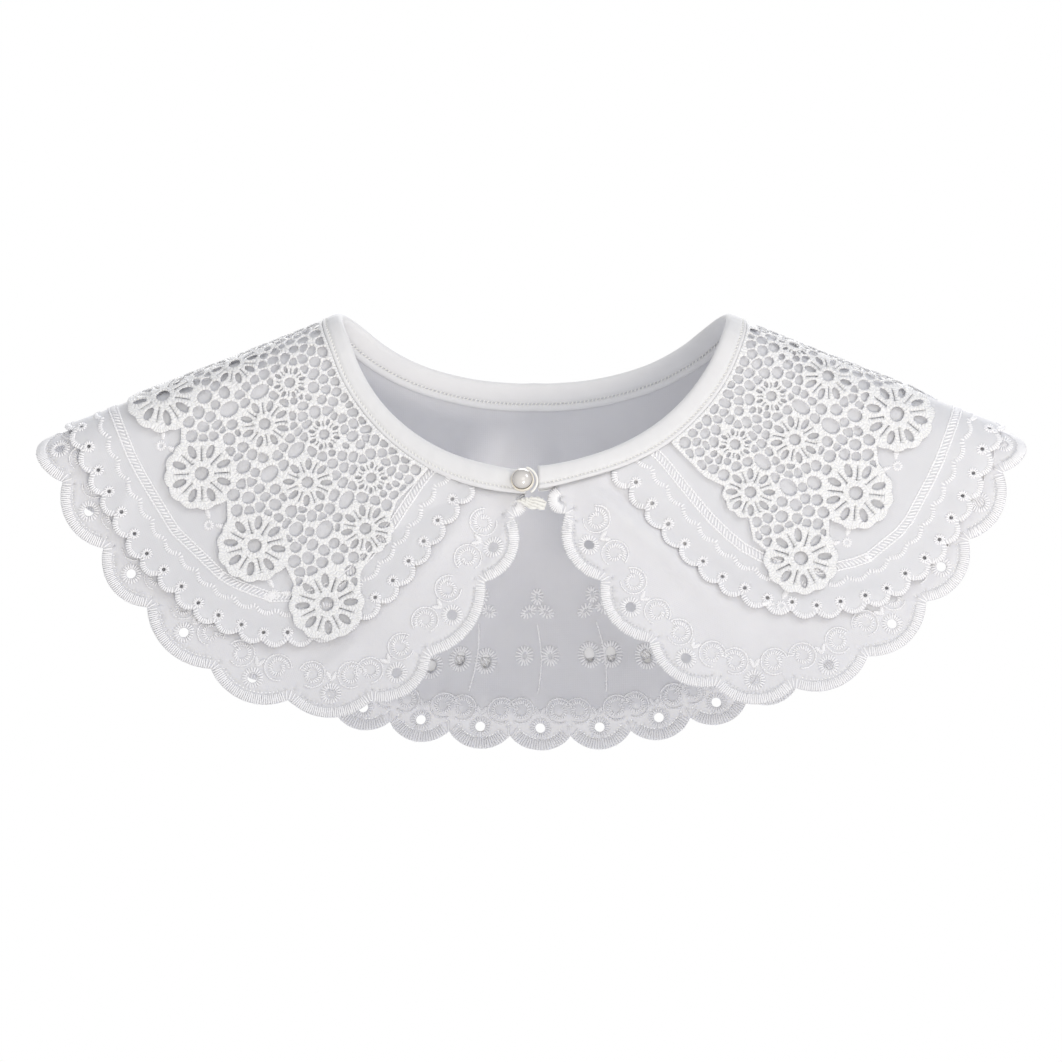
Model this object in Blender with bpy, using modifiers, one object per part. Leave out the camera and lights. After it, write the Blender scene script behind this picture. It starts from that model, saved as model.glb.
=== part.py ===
"""A white lace capelet: three layers on a bound neckband, closed by a pearl button and a thread loop.

Metres, +Z up. The front faces -Y, and the origin is the middle of the neck opening, level with the
side neck points. Each half lies over a straight shoulder ridge that runs out and down from one apex
above the neck, so a place on the cloth is a radius from that apex and an angle from the ridge.
"""
import math

import bmesh
import bpy
from mathutils import Vector
from mathutils.geometry import delaunay_2d_cdt

MM = 0.001

# Form that the cloth is draped in
APEX_HEIGHT = 30 * MM
SHOULDER_ANGLE = math.radians(68)
RIDGE_RADIUS = 20 * MM
FACE_ANGLE = math.radians(75)
CENTRE_ROUNDING = 30 * MM

# Walls and the gaps between them
WALL = 1.0 * MM
BASE_HEIGHT = 0.0
MIDDLE_HEIGHT = 1.4 * MM
LACE_HEIGHT = 3.1 * MM
SEAM_GAP = 0.3 * MM
BAND_UNDER = -0.1 * MM
BAND_WALL = 4.3 * MM
FLARE = 1.5 * MM
FLARE_START = 100 * MM
FLARE_LENGTH = 120 * MM
LACE_FLARE_SHARE = 1.6
BAND_SOFTNESS = 0.7 * MM

# Neckband: angle from the shoulder ridge in degrees, radius of its top and of its seam in mm
BAND_FRONT_LEFT = (
    # angle, top, seam
    (0, 88.0, 96.0),
    (12, 91.0, 99.8),
    (20, 95.0, 104.0),
    (30, 100.0, 108.8),
    (40, 104.0, 113.2),
    (50, 107.0, 117.0),
    (60, 109.0, 119.5),
    (69, 111.0, 121.0),
)
BAND_FRONT_RIGHT = (
    # angle, top, seam
    (0, 88.0, 96.0),
    (10, 90.8, 100.0),
    (20, 94.6, 104.4),
    (30, 98.2, 108.0),
    (40, 101.4, 111.2),
    (50, 104.0, 113.2),
    (60, 106.4, 115.2),
    (69, 109.0, 118.6),
)
BAND_BACK = (
    # angle, top, seam
    (0, 88.0, 96.0),
    (15, 82.6, 93.0),
    (30, 78.0, 88.4),
    (45, 74.0, 84.4),
    (60, 72.0, 82.6),
    (72, 72.0, 82.6),
)
BAND_STATIONS = (0, 2.5, 5, 8, 11, 14, 18, 23, 29, 35, 41, 47, 53, 58.5, 63.5)
BAND_END_LEFT = -3.4 * MM
BAND_END_RIGHT = 1.4 * MM

# Scalloped edge of the cotton fronts: one row for each notch, from the shoulder round to the neck
BASE_NOTCHES_LEFT = (
    # angle, radius
    (0.0, 223.5),
    (7.8, 227.5),
    (16.4, 229.0),
    (24.6, 232.5),
    (34.1, 236.5),
    (42.8, 231.5),
    (51.4, 220.0),
    (56.8, 195.5),
    (62.6, 160.0),
    (66.6, 131.0),
)
BASE_NOTCHES_RIGHT = (
    # angle, radius
    (0.0, 220.5),
    (7.0, 224.5),
    (15.5, 228.0),
    (23.6, 232.0),
    (32.4, 234.5),
    (40.9, 229.7),
    (48.8, 216.0),
    (55.0, 190.5),
    (59.9, 160.5),
    (64.6, 130.0),
)
BACK_HEM_RADIUS = 229 * MM
BACK_SCALLOPS = 21
BACK_SCALLOP_SHIFT = math.radians(0.7)
BACK_SIDE_RISE = 8.5 * MM
BACK_RISE_START = 0.35
BACK_RISE_END = 0.75
FRONT_SCALLOP_DEPTH = 7.5 * MM
BACK_SCALLOP_DEPTH = 7.0 * MM
SCALLOP_STEPS = 5
EYELET_RADIUS = 2.15 * MM
EYELET_INSET = 3.0 * MM
EYELET_SIDES = 8
LEAST_EYELET_SCALLOP = 20 * MM
BASE_NECK_REACH = 1.6
MIDDLE_NECK_REACH = 0.8

# Upper eyelets of the back: angle from the centre back in degrees, radius and half sizes in mm
BACK_OVAL_EYELETS = (
    # angle, radius, across, along
    (-12.8, 201.0, 2.2, 3.2),
    (-9.4, 196.0, 2.2, 3.2),
    (-6.1, 196.0, 2.2, 3.2),
    (7.2, 193.0, 2.2, 3.2),
    (9.9, 194.0, 2.2, 3.2),
    (14.3, 197.5, 2.2, 3.2),
)

# Edge of the sheer fronts: angle from the shoulder, radius of the scallops' notches
MIDDLE_EDGE_LEFT = (
    # angle, radius
    (0, 213.0),
    (10, 216.0),
    (20, 220.0),
    (30, 221.0),
    (37, 215.0),
    (42, 205.0),
    (46, 192.0),
    (49.5, 174.0),
    (52.5, 152.0),
    (55.5, 130.0),
    (57.5, 119.3),
)
MIDDLE_EDGE_RIGHT = (
    # angle, radius
    (0, 214.0),
    (10, 218.0),
    (19, 223.0),
    (27, 220.0),
    (34, 208.5),
    (39, 194.5),
    (43, 178.0),
    (46, 160.0),
    (48.6, 140.0),
    (51.0, 124.0),
    (53.0, 114.2),
)
MIDDLE_BACK_RADIUS = 216 * MM
MIDDLE_PITCH = 11 * MM
MIDDLE_SCALLOP_DEPTH = 3.2 * MM
MIDDLE_SCALLOP_STEPS = 3

# Columns of the lace: angle from the shoulder ridge, radius of the outer daisy
LACE_LEFT = (
    # angle, radius
    (4.4, 172.5),
    (17.0, 176.5),
    (29.6, 183.0),
    (42.0, 188.0),
)
LACE_RIGHT = (
    # angle, radius
    (7.5, 173.0),
    (20.1, 178.5),
    (32.0, 184.0),
)
LACE_BACK_COLUMNS = 11
LACE_BACK_RADIUS = 176 * MM
LACE_EDGE_LEFT = math.radians(48.2)
LACE_EDGE_RIGHT = math.radians(39.6)
LACE_HOLLOW_LEFT = 6.8 * MM
LACE_HOLLOW_RIGHT = 12.0 * MM
OUTER_DAISY = 16.3 * MM
INNER_DAISY = 12.3 * MM
INNER_DAISY_SHARE = 0.805
PETALS = 12
PETAL_DEPTH = 1.1 * MM
PETAL_STEPS = 3
LACE_ARC = math.radians(95)
LACE_FRONT_ARC = math.radians(140)
LACE_NOTCH_SHARE = 0.985
LACE_BAR = 1.0 * MM

# Gaps of one lace column: shares of the column pitch and of the daisy's radius, half sizes in mm
LACE_GAPS = (
    # pitch, share, across, along, sides
    (0.0, 1.0, 3.0, 3.0, 8),
    (0.0, 0.805, 2.6, 2.6, 8),
    (0.53, 0.962, 3.1, 5.0, 6),
    (0.55, 0.862, 3.2, 4.3, 6),
    (0.26, 0.904, 2.8, 3.3, 6),
    (0.74, 0.874, 2.2, 2.4, 6),
    (0.87, 0.898, 2.8, 2.5, 6),
    (0.58, 0.776, 2.7, 4.3, 6),
    (0.72, 0.70, 2.5, 2.6, 6),
)

# Soft folds: angle from the shoulder, half width, where it starts, its height at the hem
FOLDS_LEFT = (
    # angle, width, start, height
    (56, 6, 115, 2.2),
    (44, 6, 120, -1.8),
    (30, 7, 130, 2.0),
    (18, 5, 150, -1.2),
)
FOLDS_RIGHT = (
    # angle, width, start, height
    (58, 7, 105, 3.4),
    (47, 5, 110, -1.6),
    (36, 6, 125, 1.8),
    (23, 6, 140, -1.5),
    (11, 4, 160, 0.9),
)
FOLDS_BACK_LEFT = (
    # angle, width, start, height
    (61, 7, 95, 2.0),
    (47, 7, 110, -2.0),
    (32, 7, 120, 1.8),
    (17, 6, 140, -1.4),
)
FOLDS_BACK_RIGHT = (
    # angle, width, start, height
    (64, 6, 100, -1.4),
    (51, 7, 100, 2.2),
    (37, 7, 115, -1.9),
    (21, 7, 130, 1.7),
)

# Button and its fastening, seen from the front
BUTTON_X = -4.3 * MM
BUTTON_Z = -73.1 * MM
PEARL_RADIUS = 4.3 * MM
PEARL_DEPTH = 3.2 * MM
PEARL_LIFT = 4.1 * MM
PEARL_RINGS = 12
BEZEL_RADIUS = 4.95 * MM
BEZEL_DEPTH = 3.4 * MM
BEZEL_EDGE = 0.8 * MM
BEZEL_SIDES = 24
BEZEL_STEPS = 5
LOOP_RADIUS = 6.1 * MM
LOOP_THREAD = 0.5 * MM
LOOP_POINTS = 10
LOOP_FIRST = math.radians(75)
LOOP_LAST = math.radians(-55)
TAB_OUTLINE = (
    # x, z in mm
    (-7.0, -80.6),
    (1.6, -79.2),
    (5.2, -81.6),
    (4.2, -84.8),
    (-2.0, -84.4),
)
TAB_HEIGHT = 1.4 * MM
TAB_WALL = 1.6 * MM

# Spacing of the points inside a panel
LATTICE_ROWS = 20
LATTICE_MARGIN = 2.0 * MM
ACROSS_LEVELS = (38, 52, 67, 82, 97, 112, 127, 142, 157, 172, 187, 202, 217)
RIDGE_FACETS = 4
RIDGE_ROWS = 13
RIDGE_ROWS_START = 4.5
ALONG_STEP = 15 * MM


def rounded(value, low, high):
    share = min(max((value - low) / (high - low), 0.0), 1.0)
    return share * share * (3 - 2 * share)


def read_table(table, angle, column):
    """Smooth value of a column at an angle, by a cubic through the rows' own slopes."""
    rows = [(math.radians(row[0]), row[column] * MM) for row in table]
    if angle <= rows[0][0]:
        return rows[0][1]
    if angle >= rows[-1][0]:
        return rows[-1][1]
    index = max(i for i in range(len(rows) - 1) if rows[i][0] <= angle)

    def slope(i):
        before, after = rows[max(i - 1, 0)], rows[min(i + 1, len(rows) - 1)]
        return (after[1] - before[1]) / (after[0] - before[0])

    (start, low), (end, high) = rows[index], rows[index + 1]
    width = end - start
    s = (angle - start) / width
    return (
        low * (1 + 2 * s) * (1 - s) ** 2
        + high * s * s * (3 - 2 * s)
        + width * (slope(index) * s * (1 - s) ** 2 - slope(index + 1) * s * s * (1 - s))
    )


def centre_angle(radius):
    """Angle from the ridge at which a radius meets the middle plane."""
    lean = math.cos(SHOULDER_ANGLE) * math.sin(FACE_ANGLE)
    size = math.hypot(math.sin(SHOULDER_ANGLE), lean)
    bend = RIDGE_RADIUS * (1 - math.cos(FACE_ANGLE) - FACE_ANGLE * math.sin(FACE_ANGLE))
    share = math.cos(SHOULDER_ANGLE) * bend / (radius * size)
    return math.acos(share) - math.atan2(lean, math.sin(SHOULDER_ANGLE))


FULL_ANGLE = centre_angle(BACK_HEM_RADIUS)


def fold_height(side, face, radius, angle):
    if face < 0:
        table = FOLDS_RIGHT if side > 0 else FOLDS_LEFT
    else:
        table = FOLDS_BACK_RIGHT if side > 0 else FOLDS_BACK_LEFT
    height = 0.0
    for middle, width, start, size in table:
        reach = max(radius - start * MM, 0.0) / (BACK_HEM_RADIUS - start * MM)
        offset = (math.degrees(angle) - middle) / width
        height += size * MM * math.exp(-offset * offset) * reach ** 1.3
    return height


def cloth_point(side, face, radius, angle, height):
    """A place on the draped cloth. side is +1 at +X, face is -1 at the front."""
    along = radius * math.cos(angle)
    across = radius * math.sin(angle)
    turn = min(across / RIDGE_RADIUS, FACE_ANGLE)
    rest = max(across - RIDGE_RADIUS * FACE_ANGLE, 0.0)
    drop = RIDGE_RADIUS * (1 - math.cos(turn)) + rest * math.sin(FACE_ANGLE)
    depth = RIDGE_RADIUS * math.sin(turn) + rest * math.cos(FACE_ANGLE)
    faced = rounded(across, 0.0, RIDGE_RADIUS * FACE_ANGLE)
    height += faced * fold_height(side, face, radius, angle)
    drop -= height * math.cos(turn)
    depth += height * math.sin(turn)
    x = along * math.sin(SHOULDER_ANGLE) - drop * math.cos(SHOULDER_ANGLE)
    z = APEX_HEIGHT - along * math.cos(SHOULDER_ANGLE) - drop * math.sin(SHOULDER_ANGLE)
    easing = (math.hypot(x, CENTRE_ROUNDING) - abs(x)) * math.cos(SHOULDER_ANGLE)
    depth -= faced * easing / math.tan(FACE_ANGLE)
    return Vector((side * x, face * depth, z))


def front_polar(x, z):
    """Radius and angle of a place on the front that is seen at x and z."""
    fall = APEX_HEIGHT - z
    along = abs(x) * math.sin(SHOULDER_ANGLE) + fall * math.cos(SHOULDER_ANGLE)
    drop = fall * math.sin(SHOULDER_ANGLE) - abs(x) * math.cos(SHOULDER_ANGLE)
    round_drop = RIDGE_RADIUS * (1 - math.cos(FACE_ANGLE))
    across = RIDGE_RADIUS * FACE_ANGLE + (drop - round_drop) / math.sin(FACE_ANGLE)
    return math.hypot(along, across), math.atan2(across, along)


def flare(radius):
    share = min(max((radius - FLARE_START) / FLARE_LENGTH, 0.0), 1.0)
    return FLARE * share * share


class FrontPanel:
    """Flat pattern of one front: the ridge is its first axis."""

    def __init__(self, side):
        self.side = side
        self.band = BAND_FRONT_RIGHT if side > 0 else BAND_FRONT_LEFT

    def flat(self, side, radius, angle):
        return radius * math.cos(angle), radius * math.sin(angle)

    def cloth(self, point, height_at):
        radius, angle = math.hypot(*point), math.atan2(point[1], point[0])
        return cloth_point(self.side, -1, radius, angle, height_at(radius))

    def sides(self):
        return (self.side,)

    def last_angle(self, radius):
        return math.radians(85)


class BackPanel:
    """Flat pattern of the back: the centre back is its second axis, the ridges its two ends."""

    band = BAND_BACK

    def flat(self, side, radius, angle):
        turn = side * FULL_ANGLE * (1 - angle / centre_angle(radius))
        return radius * math.sin(turn), radius * math.cos(turn)

    def cloth(self, point, height_at):
        radius, turn = math.hypot(*point), math.atan2(point[0], point[1])
        side = 1 if turn >= 0 else -1
        angle = centre_angle(radius) * (1 - abs(turn) / FULL_ANGLE)
        return cloth_point(side, 1, radius, angle, height_at(radius))

    def sides(self):
        return (-1, 1)

    def last_angle(self, radius):
        return centre_angle(radius)


def seam_points(panel, side, last):
    """Neck seam of a panel from its ridge to an angle, along the band's own stations."""
    stations = [math.radians(value) for value in BAND_STATIONS if math.radians(value) < last - 0.02]
    points = []
    for angle in [*stations, last]:
        radius = read_table(panel.band, angle, 2) + SEAM_GAP
        points.append(panel.flat(side, radius, max(angle, SEAM_GAP / 2 / radius)))
    return points


def scallop(start, end, depth, steps):
    """Points of one scallop from its first notch up to, not with, its last. It bulges to the right."""
    (x0, y0), (x1, y1) = start, end
    length = math.hypot(x1 - x0, y1 - y0)
    out = (y1 - y0) / length, -(x1 - x0) / length
    radius = (length * length / 4 + depth * depth) / (2 * depth)
    half = math.asin(min(length / 2 / radius, 1.0))
    points = []
    for i in range(steps):
        turn = half * (2 * i / steps - 1)
        share = math.sin(turn) * radius / length + 0.5
        rise = (math.cos(turn) - math.cos(half)) * radius
        points.append((x0 + (x1 - x0) * share + out[0] * rise, y0 + (y1 - y0) * share + out[1] * rise))
    return points


def scalloped_edge(notches, depth, steps):
    points = []
    for start, end in zip(notches, notches[1:]):
        points += scallop(start, end, depth, steps)
    return [*points, notches[-1]]


def ring(centre, across, along, sides):
    """A round or oval gap, whose second size points to the apex."""
    size = math.hypot(*centre)
    ux, uy = centre[0] / size, centre[1] / size
    points = []
    for i in range(sides):
        turn = 2 * math.pi * (i + 0.5) / sides
        a, b = along * math.cos(turn), across * math.sin(turn)
        points.append((centre[0] + a * ux - b * uy, centre[1] + a * uy + b * ux))
    return points


def line_between(start, end, step):
    """Places along a straight line between two points, without its ends."""
    count = max(round(math.dist(start, end) / step), 1)
    shares = [i / count for i in range(1, count)]
    return [(start[0] + (end[0] - start[0]) * s, start[1] + (end[1] - start[1]) * s) for s in shares]


def even_steps(points, pitch):
    """Places about one pitch apart along a line through points."""
    lengths = [0.0]
    for a, b in zip(points, points[1:]):
        lengths.append(lengths[-1] + math.dist(a, b))
    count = round(lengths[-1] / pitch)
    places = []
    index = 0
    for i in range(count + 1):
        target = lengths[-1] * i / count
        while index < len(points) - 2 and lengths[index + 1] < target:
            index += 1
        share = (target - lengths[index]) / (lengths[index + 1] - lengths[index])
        (ax, ay), (bx, by) = points[index], points[index + 1]
        places.append((ax + (bx - ax) * share, ay + (by - ay) * share))
    return places


def inside(point, loop):
    x, y = point
    crossed = False
    for (x0, y0), (x1, y1) in zip(loop, [*loop[1:], loop[0]]):
        if (y0 > y) != (y1 > y) and x < x0 + (x1 - x0) * (y - y0) / (y1 - y0):
            crossed = not crossed
    return crossed


def distance_to(point, loop):
    best = 1.0
    px, py = point
    for (x0, y0), (x1, y1) in zip(loop, [*loop[1:], loop[0]]):
        dx, dy = x1 - x0, y1 - y0
        share = min(max(((px - x0) * dx + (py - y0) * dy) / (dx * dx + dy * dy), 0.0), 1.0)
        best = min(best, math.hypot(px - x0 - share * dx, py - y0 - share * dy))
    return best


def lattice(panel):
    """Places inside a panel's flat faces, in rows along the ridge."""
    points = []
    for side in panel.sides():
        for level in ACROSS_LEVELS:
            across = level * MM
            for i in range(LATTICE_ROWS):
                along = i * ALONG_STEP
                radius, angle = math.hypot(along, across), math.atan2(across, along)
                if angle < panel.last_angle(radius) - 0.03:
                    points.append(panel.flat(side, radius, angle))
    if len(panel.sides()) > 1:
        points += [(0.0, i * ALONG_STEP) for i in range(LATTICE_ROWS)]
    return points


def ridge_lines(panel):
    """Lines along the ridge where the facets of every layer meet, so that stacked walls stay apart."""
    lines = []
    for side in panel.sides():
        for i in range(1, RIDGE_FACETS + 1):
            across = RIDGE_RADIUS * FACE_ANGLE * i / RIDGE_FACETS
            places = [(j + RIDGE_ROWS_START) * ALONG_STEP for j in range(RIDGE_ROWS)]
            lines.append([panel.flat(side, math.hypot(t, across), math.atan2(across, t)) for t in places])
    return lines


def clear_of(point, loops):
    return all(distance_to(point, loop) > LATTICE_MARGIN for loop in loops)


def material(name, colour, roughness, sheen=0.0):
    made = bpy.data.materials.new(name)
    made.use_nodes = True
    shader = made.node_tree.nodes["Principled BSDF"]
    shader.inputs["Base Color"].default_value = (*colour, 1)
    shader.inputs["Roughness"].default_value = roughness
    shader.inputs["Metallic"].default_value = 0.0
    shader.inputs["Sheen Weight"].default_value = sheen
    return made


def add_object(name, mesh, collection, look):
    made = bpy.data.objects.new(name, mesh)
    mesh.materials.append(look)
    collection.objects.link(made)
    return made


def add_wall(made, thickness):
    wall = made.modifiers.new("Wall", "SOLIDIFY")
    wall.thickness = thickness
    wall.offset = 1.0


def add_panel(name, panel, outline, gaps, height_at, collection, look):
    """One layer of a panel: its flat pattern cut into triangles, draped, and given its wall."""
    loops = [outline, *gaps]
    points, edges = [], []
    for loop in loops:
        first = len(points)
        points += [Vector(p) for p in loop]
        edges += [(first + i, first + (i + 1) % len(loop)) for i in range(len(loop))]
    for p in lattice(panel):
        if inside(p, outline) and clear_of(p, loops) and not any(inside(p, gap) for gap in gaps):
            points.append(Vector(p))
    for line in ridge_lines(panel):
        kept = [Vector(p) for p in line if clear_of(p, loops)]
        edges += [(len(points) + i, len(points) + i + 1) for i in range(len(kept) - 1)]
        points += kept
    flat, _, faces, *_ = delaunay_2d_cdt(points, edges, [], 1, 1e-7)
    mesh = bmesh.new()
    corners = [mesh.verts.new(panel.cloth(p, height_at)) for p in flat]
    for face in faces:
        middle = sum((flat[i] for i in face), Vector((0, 0))) / len(face)
        if inside(middle, outline) and not any(inside(middle, gap) for gap in gaps):
            mesh.faces.new([corners[i] for i in face])
    bmesh.ops.delete(mesh, geom=[v for v in mesh.verts if not v.link_faces], context="VERTS")
    face_outward(mesh)
    data = bpy.data.meshes.new(name)
    mesh.to_mesh(data)
    mesh.free()
    add_wall(add_object(name, data, collection, look), WALL)


def face_outward(mesh):
    """Turns an open surface's faces away from the middle plane."""
    mesh.normal_update()
    outward = sum(f.normal.y * f.calc_center_median().y for f in mesh.faces)
    if outward < 0:
        bmesh.ops.reverse_faces(mesh, faces=mesh.faces)


def base_height(radius):
    return BASE_HEIGHT


def middle_height(radius):
    return MIDDLE_HEIGHT + flare(radius)


def lace_height(radius):
    return LACE_HEIGHT + LACE_FLARE_SHARE * flare(radius)


def front_outline(panel, notches, edge):
    """Outline of a front layer: its neck seam back to the ridge, the ridge, and its edge to the neck."""
    last = math.atan2(notches[-1][1], notches[-1][0])
    seam = seam_points(panel, panel.side, last)[::-1]
    return [*seam, *line_between(seam[-1], edge[0], ALONG_STEP), *edge[:-1]]


def back_outline(panel, edge):
    """Outline of a back layer: neck seam from left to right, the right ridge, edge, left ridge."""
    left, right = (seam_points(panel, side, centre_angle(read_table(panel.band, 2, 2))) for side in (-1, 1))
    seam = [*left[:-1], (0.0, right[-1][1]), *right[:-1][::-1]]
    return [
        *seam,
        *line_between(seam[-1], edge[0], ALONG_STEP),
        *edge,
        *line_between(edge[-1], seam[0], ALONG_STEP),
    ]


def front_notches(panel, table, reach):
    """Notches of a table, and a last one on the neck seam, some degrees further round."""
    notches = []
    for angle, radius in table:
        turn = max(math.radians(angle), SEAM_GAP / 2 / (radius * MM))
        notches.append(panel.flat(panel.side, radius * MM, turn))
    end = math.radians(table[-1][0] + reach)
    notches.append(panel.flat(panel.side, read_table(panel.band, end, 2) + SEAM_GAP, end))
    return notches


def back_notches(panel, radius, count, shift, rise=0.0):
    """Notches of the back's hem from the right ridge to the left one, a little off centre.

    rise is how much shorter the hem's radius is at both sides than at the centre back.
    """
    limit = FULL_ANGLE * (1 - SEAM_GAP / 2 / radius / centre_angle(radius))
    notches = []
    for i in range(count + 1):
        turn = limit * (1 - 2 * i / count)
        reach = radius - rise * rounded(abs(turn / limit), BACK_RISE_START, BACK_RISE_END)
        turn += shift * (1 - (turn / limit) ** 2)
        notches.append((reach * math.sin(turn), reach * math.cos(turn)))
    return notches


def eyelets(notches):
    """One round eyelet behind the middle of each full scallop."""
    found = []
    for (x0, y0), (x1, y1) in zip(notches, notches[1:]):
        length = math.hypot(x1 - x0, y1 - y0)
        if length > LEAST_EYELET_SCALLOP:
            out = (y1 - y0) / length, -(x1 - x0) / length
            centre = (x0 + x1) / 2 - out[0] * EYELET_INSET, (y0 + y1) / 2 - out[1] * EYELET_INSET
            found.append(ring(centre, EYELET_RADIUS, EYELET_RADIUS, EYELET_SIDES))
    return found


def add_base(collection, look):
    """Cotton layer: scalloped all round, with an eyelet in each scallop."""
    for name, side, table in (
        ("base_front_left", -1, BASE_NOTCHES_LEFT),
        ("base_front_right", 1, BASE_NOTCHES_RIGHT),
    ):
        panel = FrontPanel(side)
        notches = front_notches(panel, table, BASE_NECK_REACH)
        edge = scalloped_edge(notches, FRONT_SCALLOP_DEPTH, SCALLOP_STEPS)
        outline = front_outline(panel, notches, edge)
        add_panel(name, panel, outline, eyelets(notches), base_height, collection, look)
    panel = BackPanel()
    notches = back_notches(panel, BACK_HEM_RADIUS, BACK_SCALLOPS, BACK_SCALLOP_SHIFT, BACK_SIDE_RISE)
    edge = scalloped_edge(notches, BACK_SCALLOP_DEPTH, SCALLOP_STEPS)
    gaps = eyelets(notches)
    for turn, radius, across, along in BACK_OVAL_EYELETS:
        centre = radius * MM * math.sin(math.radians(turn)), radius * MM * math.cos(math.radians(turn))
        gaps.append(ring(centre, across * MM, along * MM, EYELET_SIDES))
    add_panel("base_back", panel, back_outline(panel, edge), gaps, base_height, collection, look)


def add_middle(collection, look):
    """Sheer layer: a smaller copy of the base with fine scallops."""
    for name, side, table in (
        ("middle_front_left", -1, MIDDLE_EDGE_LEFT),
        ("middle_front_right", 1, MIDDLE_EDGE_RIGHT),
    ):
        panel = FrontPanel(side)
        notches = even_steps(front_notches(panel, table, MIDDLE_NECK_REACH), MIDDLE_PITCH)
        edge = scalloped_edge(notches, MIDDLE_SCALLOP_DEPTH, MIDDLE_SCALLOP_STEPS)
        outline = front_outline(panel, notches, edge)
        add_panel(name, panel, outline, [], middle_height, collection, look)
    panel = BackPanel()
    count = round(2 * FULL_ANGLE * MIDDLE_BACK_RADIUS / MIDDLE_PITCH)
    notches = back_notches(panel, MIDDLE_BACK_RADIUS, count, 0.0)
    edge = scalloped_edge(notches, MIDDLE_SCALLOP_DEPTH, MIDDLE_SCALLOP_STEPS)
    add_panel("middle_back", panel, back_outline(panel, edge), [], middle_height, collection, look)


def petal_arc(centre, radius, first, last):
    """Scalloped rim of a daisy between two angles from the outward line, toward the front."""
    out = math.atan2(centre[1], centre[0])
    step = 2 * math.pi / PETALS / PETAL_STEPS
    points = []
    for i in range(math.ceil(first / step), math.floor(last / step) + 1):
        bulge = abs(math.cos(i * math.pi / PETAL_STEPS))
        reach = radius - PETAL_DEPTH * (1 - bulge)
        turn = out + i * step
        points.append((centre[0] + reach * math.cos(turn), centre[1] + reach * math.sin(turn)))
    return points


def lace_gaps(panel, columns, outline):
    """The large gaps of every column of the lace that lie well inside its outline."""
    first_step = columns[1][1] - columns[0][1], columns[1][2] - columns[0][2]
    last_step = columns[-1][1] - columns[-2][1], columns[-1][2] - columns[-2][2]
    before = columns[0][0], columns[0][1] - first_step[0], columns[0][2] - first_step[1]
    after = columns[-1][0], columns[-1][1] + last_step[0], columns[-1][2] + last_step[1]
    rows = [before, *columns, after]
    gaps = []
    for (side, angle, radius), (_, next_angle, next_radius) in zip(rows, rows[1:]):
        for pitch, share, across, along, sides in LACE_GAPS:
            turn = angle + (next_angle - angle) * pitch
            reach = (radius + (next_radius - radius) * pitch) * share
            centre = panel.flat(side, reach, turn)
            margin = max(across, along) * MM + LACE_BAR
            if inside(centre, outline) and distance_to(centre, outline) > margin:
                gaps.append(ring(centre, across * MM, along * MM, sides))
    return gaps


def add_lace_front(name, side, table, last, hollow, collection, look):
    """Front of the guipure: a hem of daisies, and a front edge round the daisies of the last column."""
    panel = FrontPanel(side)
    columns = [(side, math.radians(angle), radius * MM) for angle, radius in table]
    _, first_angle, first_radius = columns[0]
    edge = [(first_radius * LACE_NOTCH_SHARE, SEAM_GAP / 2)]
    for _, angle, radius in columns[:-1]:
        edge += petal_arc(panel.flat(side, radius, angle), OUTER_DAISY, -LACE_ARC, LACE_ARC)
    _, angle, radius = columns[-1]
    outer = panel.flat(side, radius, angle)
    inner_radius = radius * INNER_DAISY_SHARE
    inner = panel.flat(side, inner_radius, angle)
    edge += petal_arc(outer, OUTER_DAISY, -LACE_ARC, LACE_FRONT_ARC)
    between = (radius + inner_radius) / 2
    edge.append(panel.flat(side, between, angle + hollow / between))
    edge += petal_arc(inner, INNER_DAISY, math.pi - LACE_FRONT_ARC, LACE_FRONT_ARC)
    below = inner_radius - INNER_DAISY - 4 * MM
    edge.append(panel.flat(side, below, angle + hollow / below))
    edge.append(panel.flat(side, read_table(panel.band, last, 2) + SEAM_GAP, last))
    crossing = max((i for i, p in enumerate(edge) if p[1] < SEAM_GAP / 2 + 1e-9), default=0)
    rim = edge[crossing + 1:]
    start = rim[0][0] if crossing else first_radius * LACE_NOTCH_SHARE
    edge = [(start, SEAM_GAP / 2), *rim]
    outline = front_outline(panel, edge, edge)
    gaps = lace_gaps(panel, columns, outline)
    add_panel(name, panel, outline, gaps, lace_height, collection, look)


def add_lace(collection, look):
    add_lace_front("lace_front_left", -1, LACE_LEFT, LACE_EDGE_LEFT, LACE_HOLLOW_LEFT, collection, look)
    add_lace_front("lace_front_right", 1, LACE_RIGHT, LACE_EDGE_RIGHT, LACE_HOLLOW_RIGHT, collection, look)
    panel = BackPanel()
    pitch = 2 * FULL_ANGLE / LACE_BACK_COLUMNS
    notch_radius = LACE_BACK_RADIUS * LACE_NOTCH_SHARE
    ends = back_notches(panel, notch_radius, 1, 0.0)
    edge = [ends[0]]
    columns = []
    for i in range(LACE_BACK_COLUMNS):
        turn = FULL_ANGLE - (i + 0.5) * pitch
        side = 1 if turn >= 0 else -1
        angle = centre_angle(LACE_BACK_RADIUS) * (1 - abs(turn) / FULL_ANGLE)
        columns.append((side, angle, LACE_BACK_RADIUS))
        edge += petal_arc(panel.flat(side, LACE_BACK_RADIUS, angle), OUTER_DAISY, -LACE_ARC, LACE_ARC)
    edge.append(ends[1])
    outline = back_outline(panel, edge)
    gaps = back_lace_gaps(panel, pitch, outline)
    add_panel("lace_back", panel, outline, gaps, lace_height, collection, look)


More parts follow.
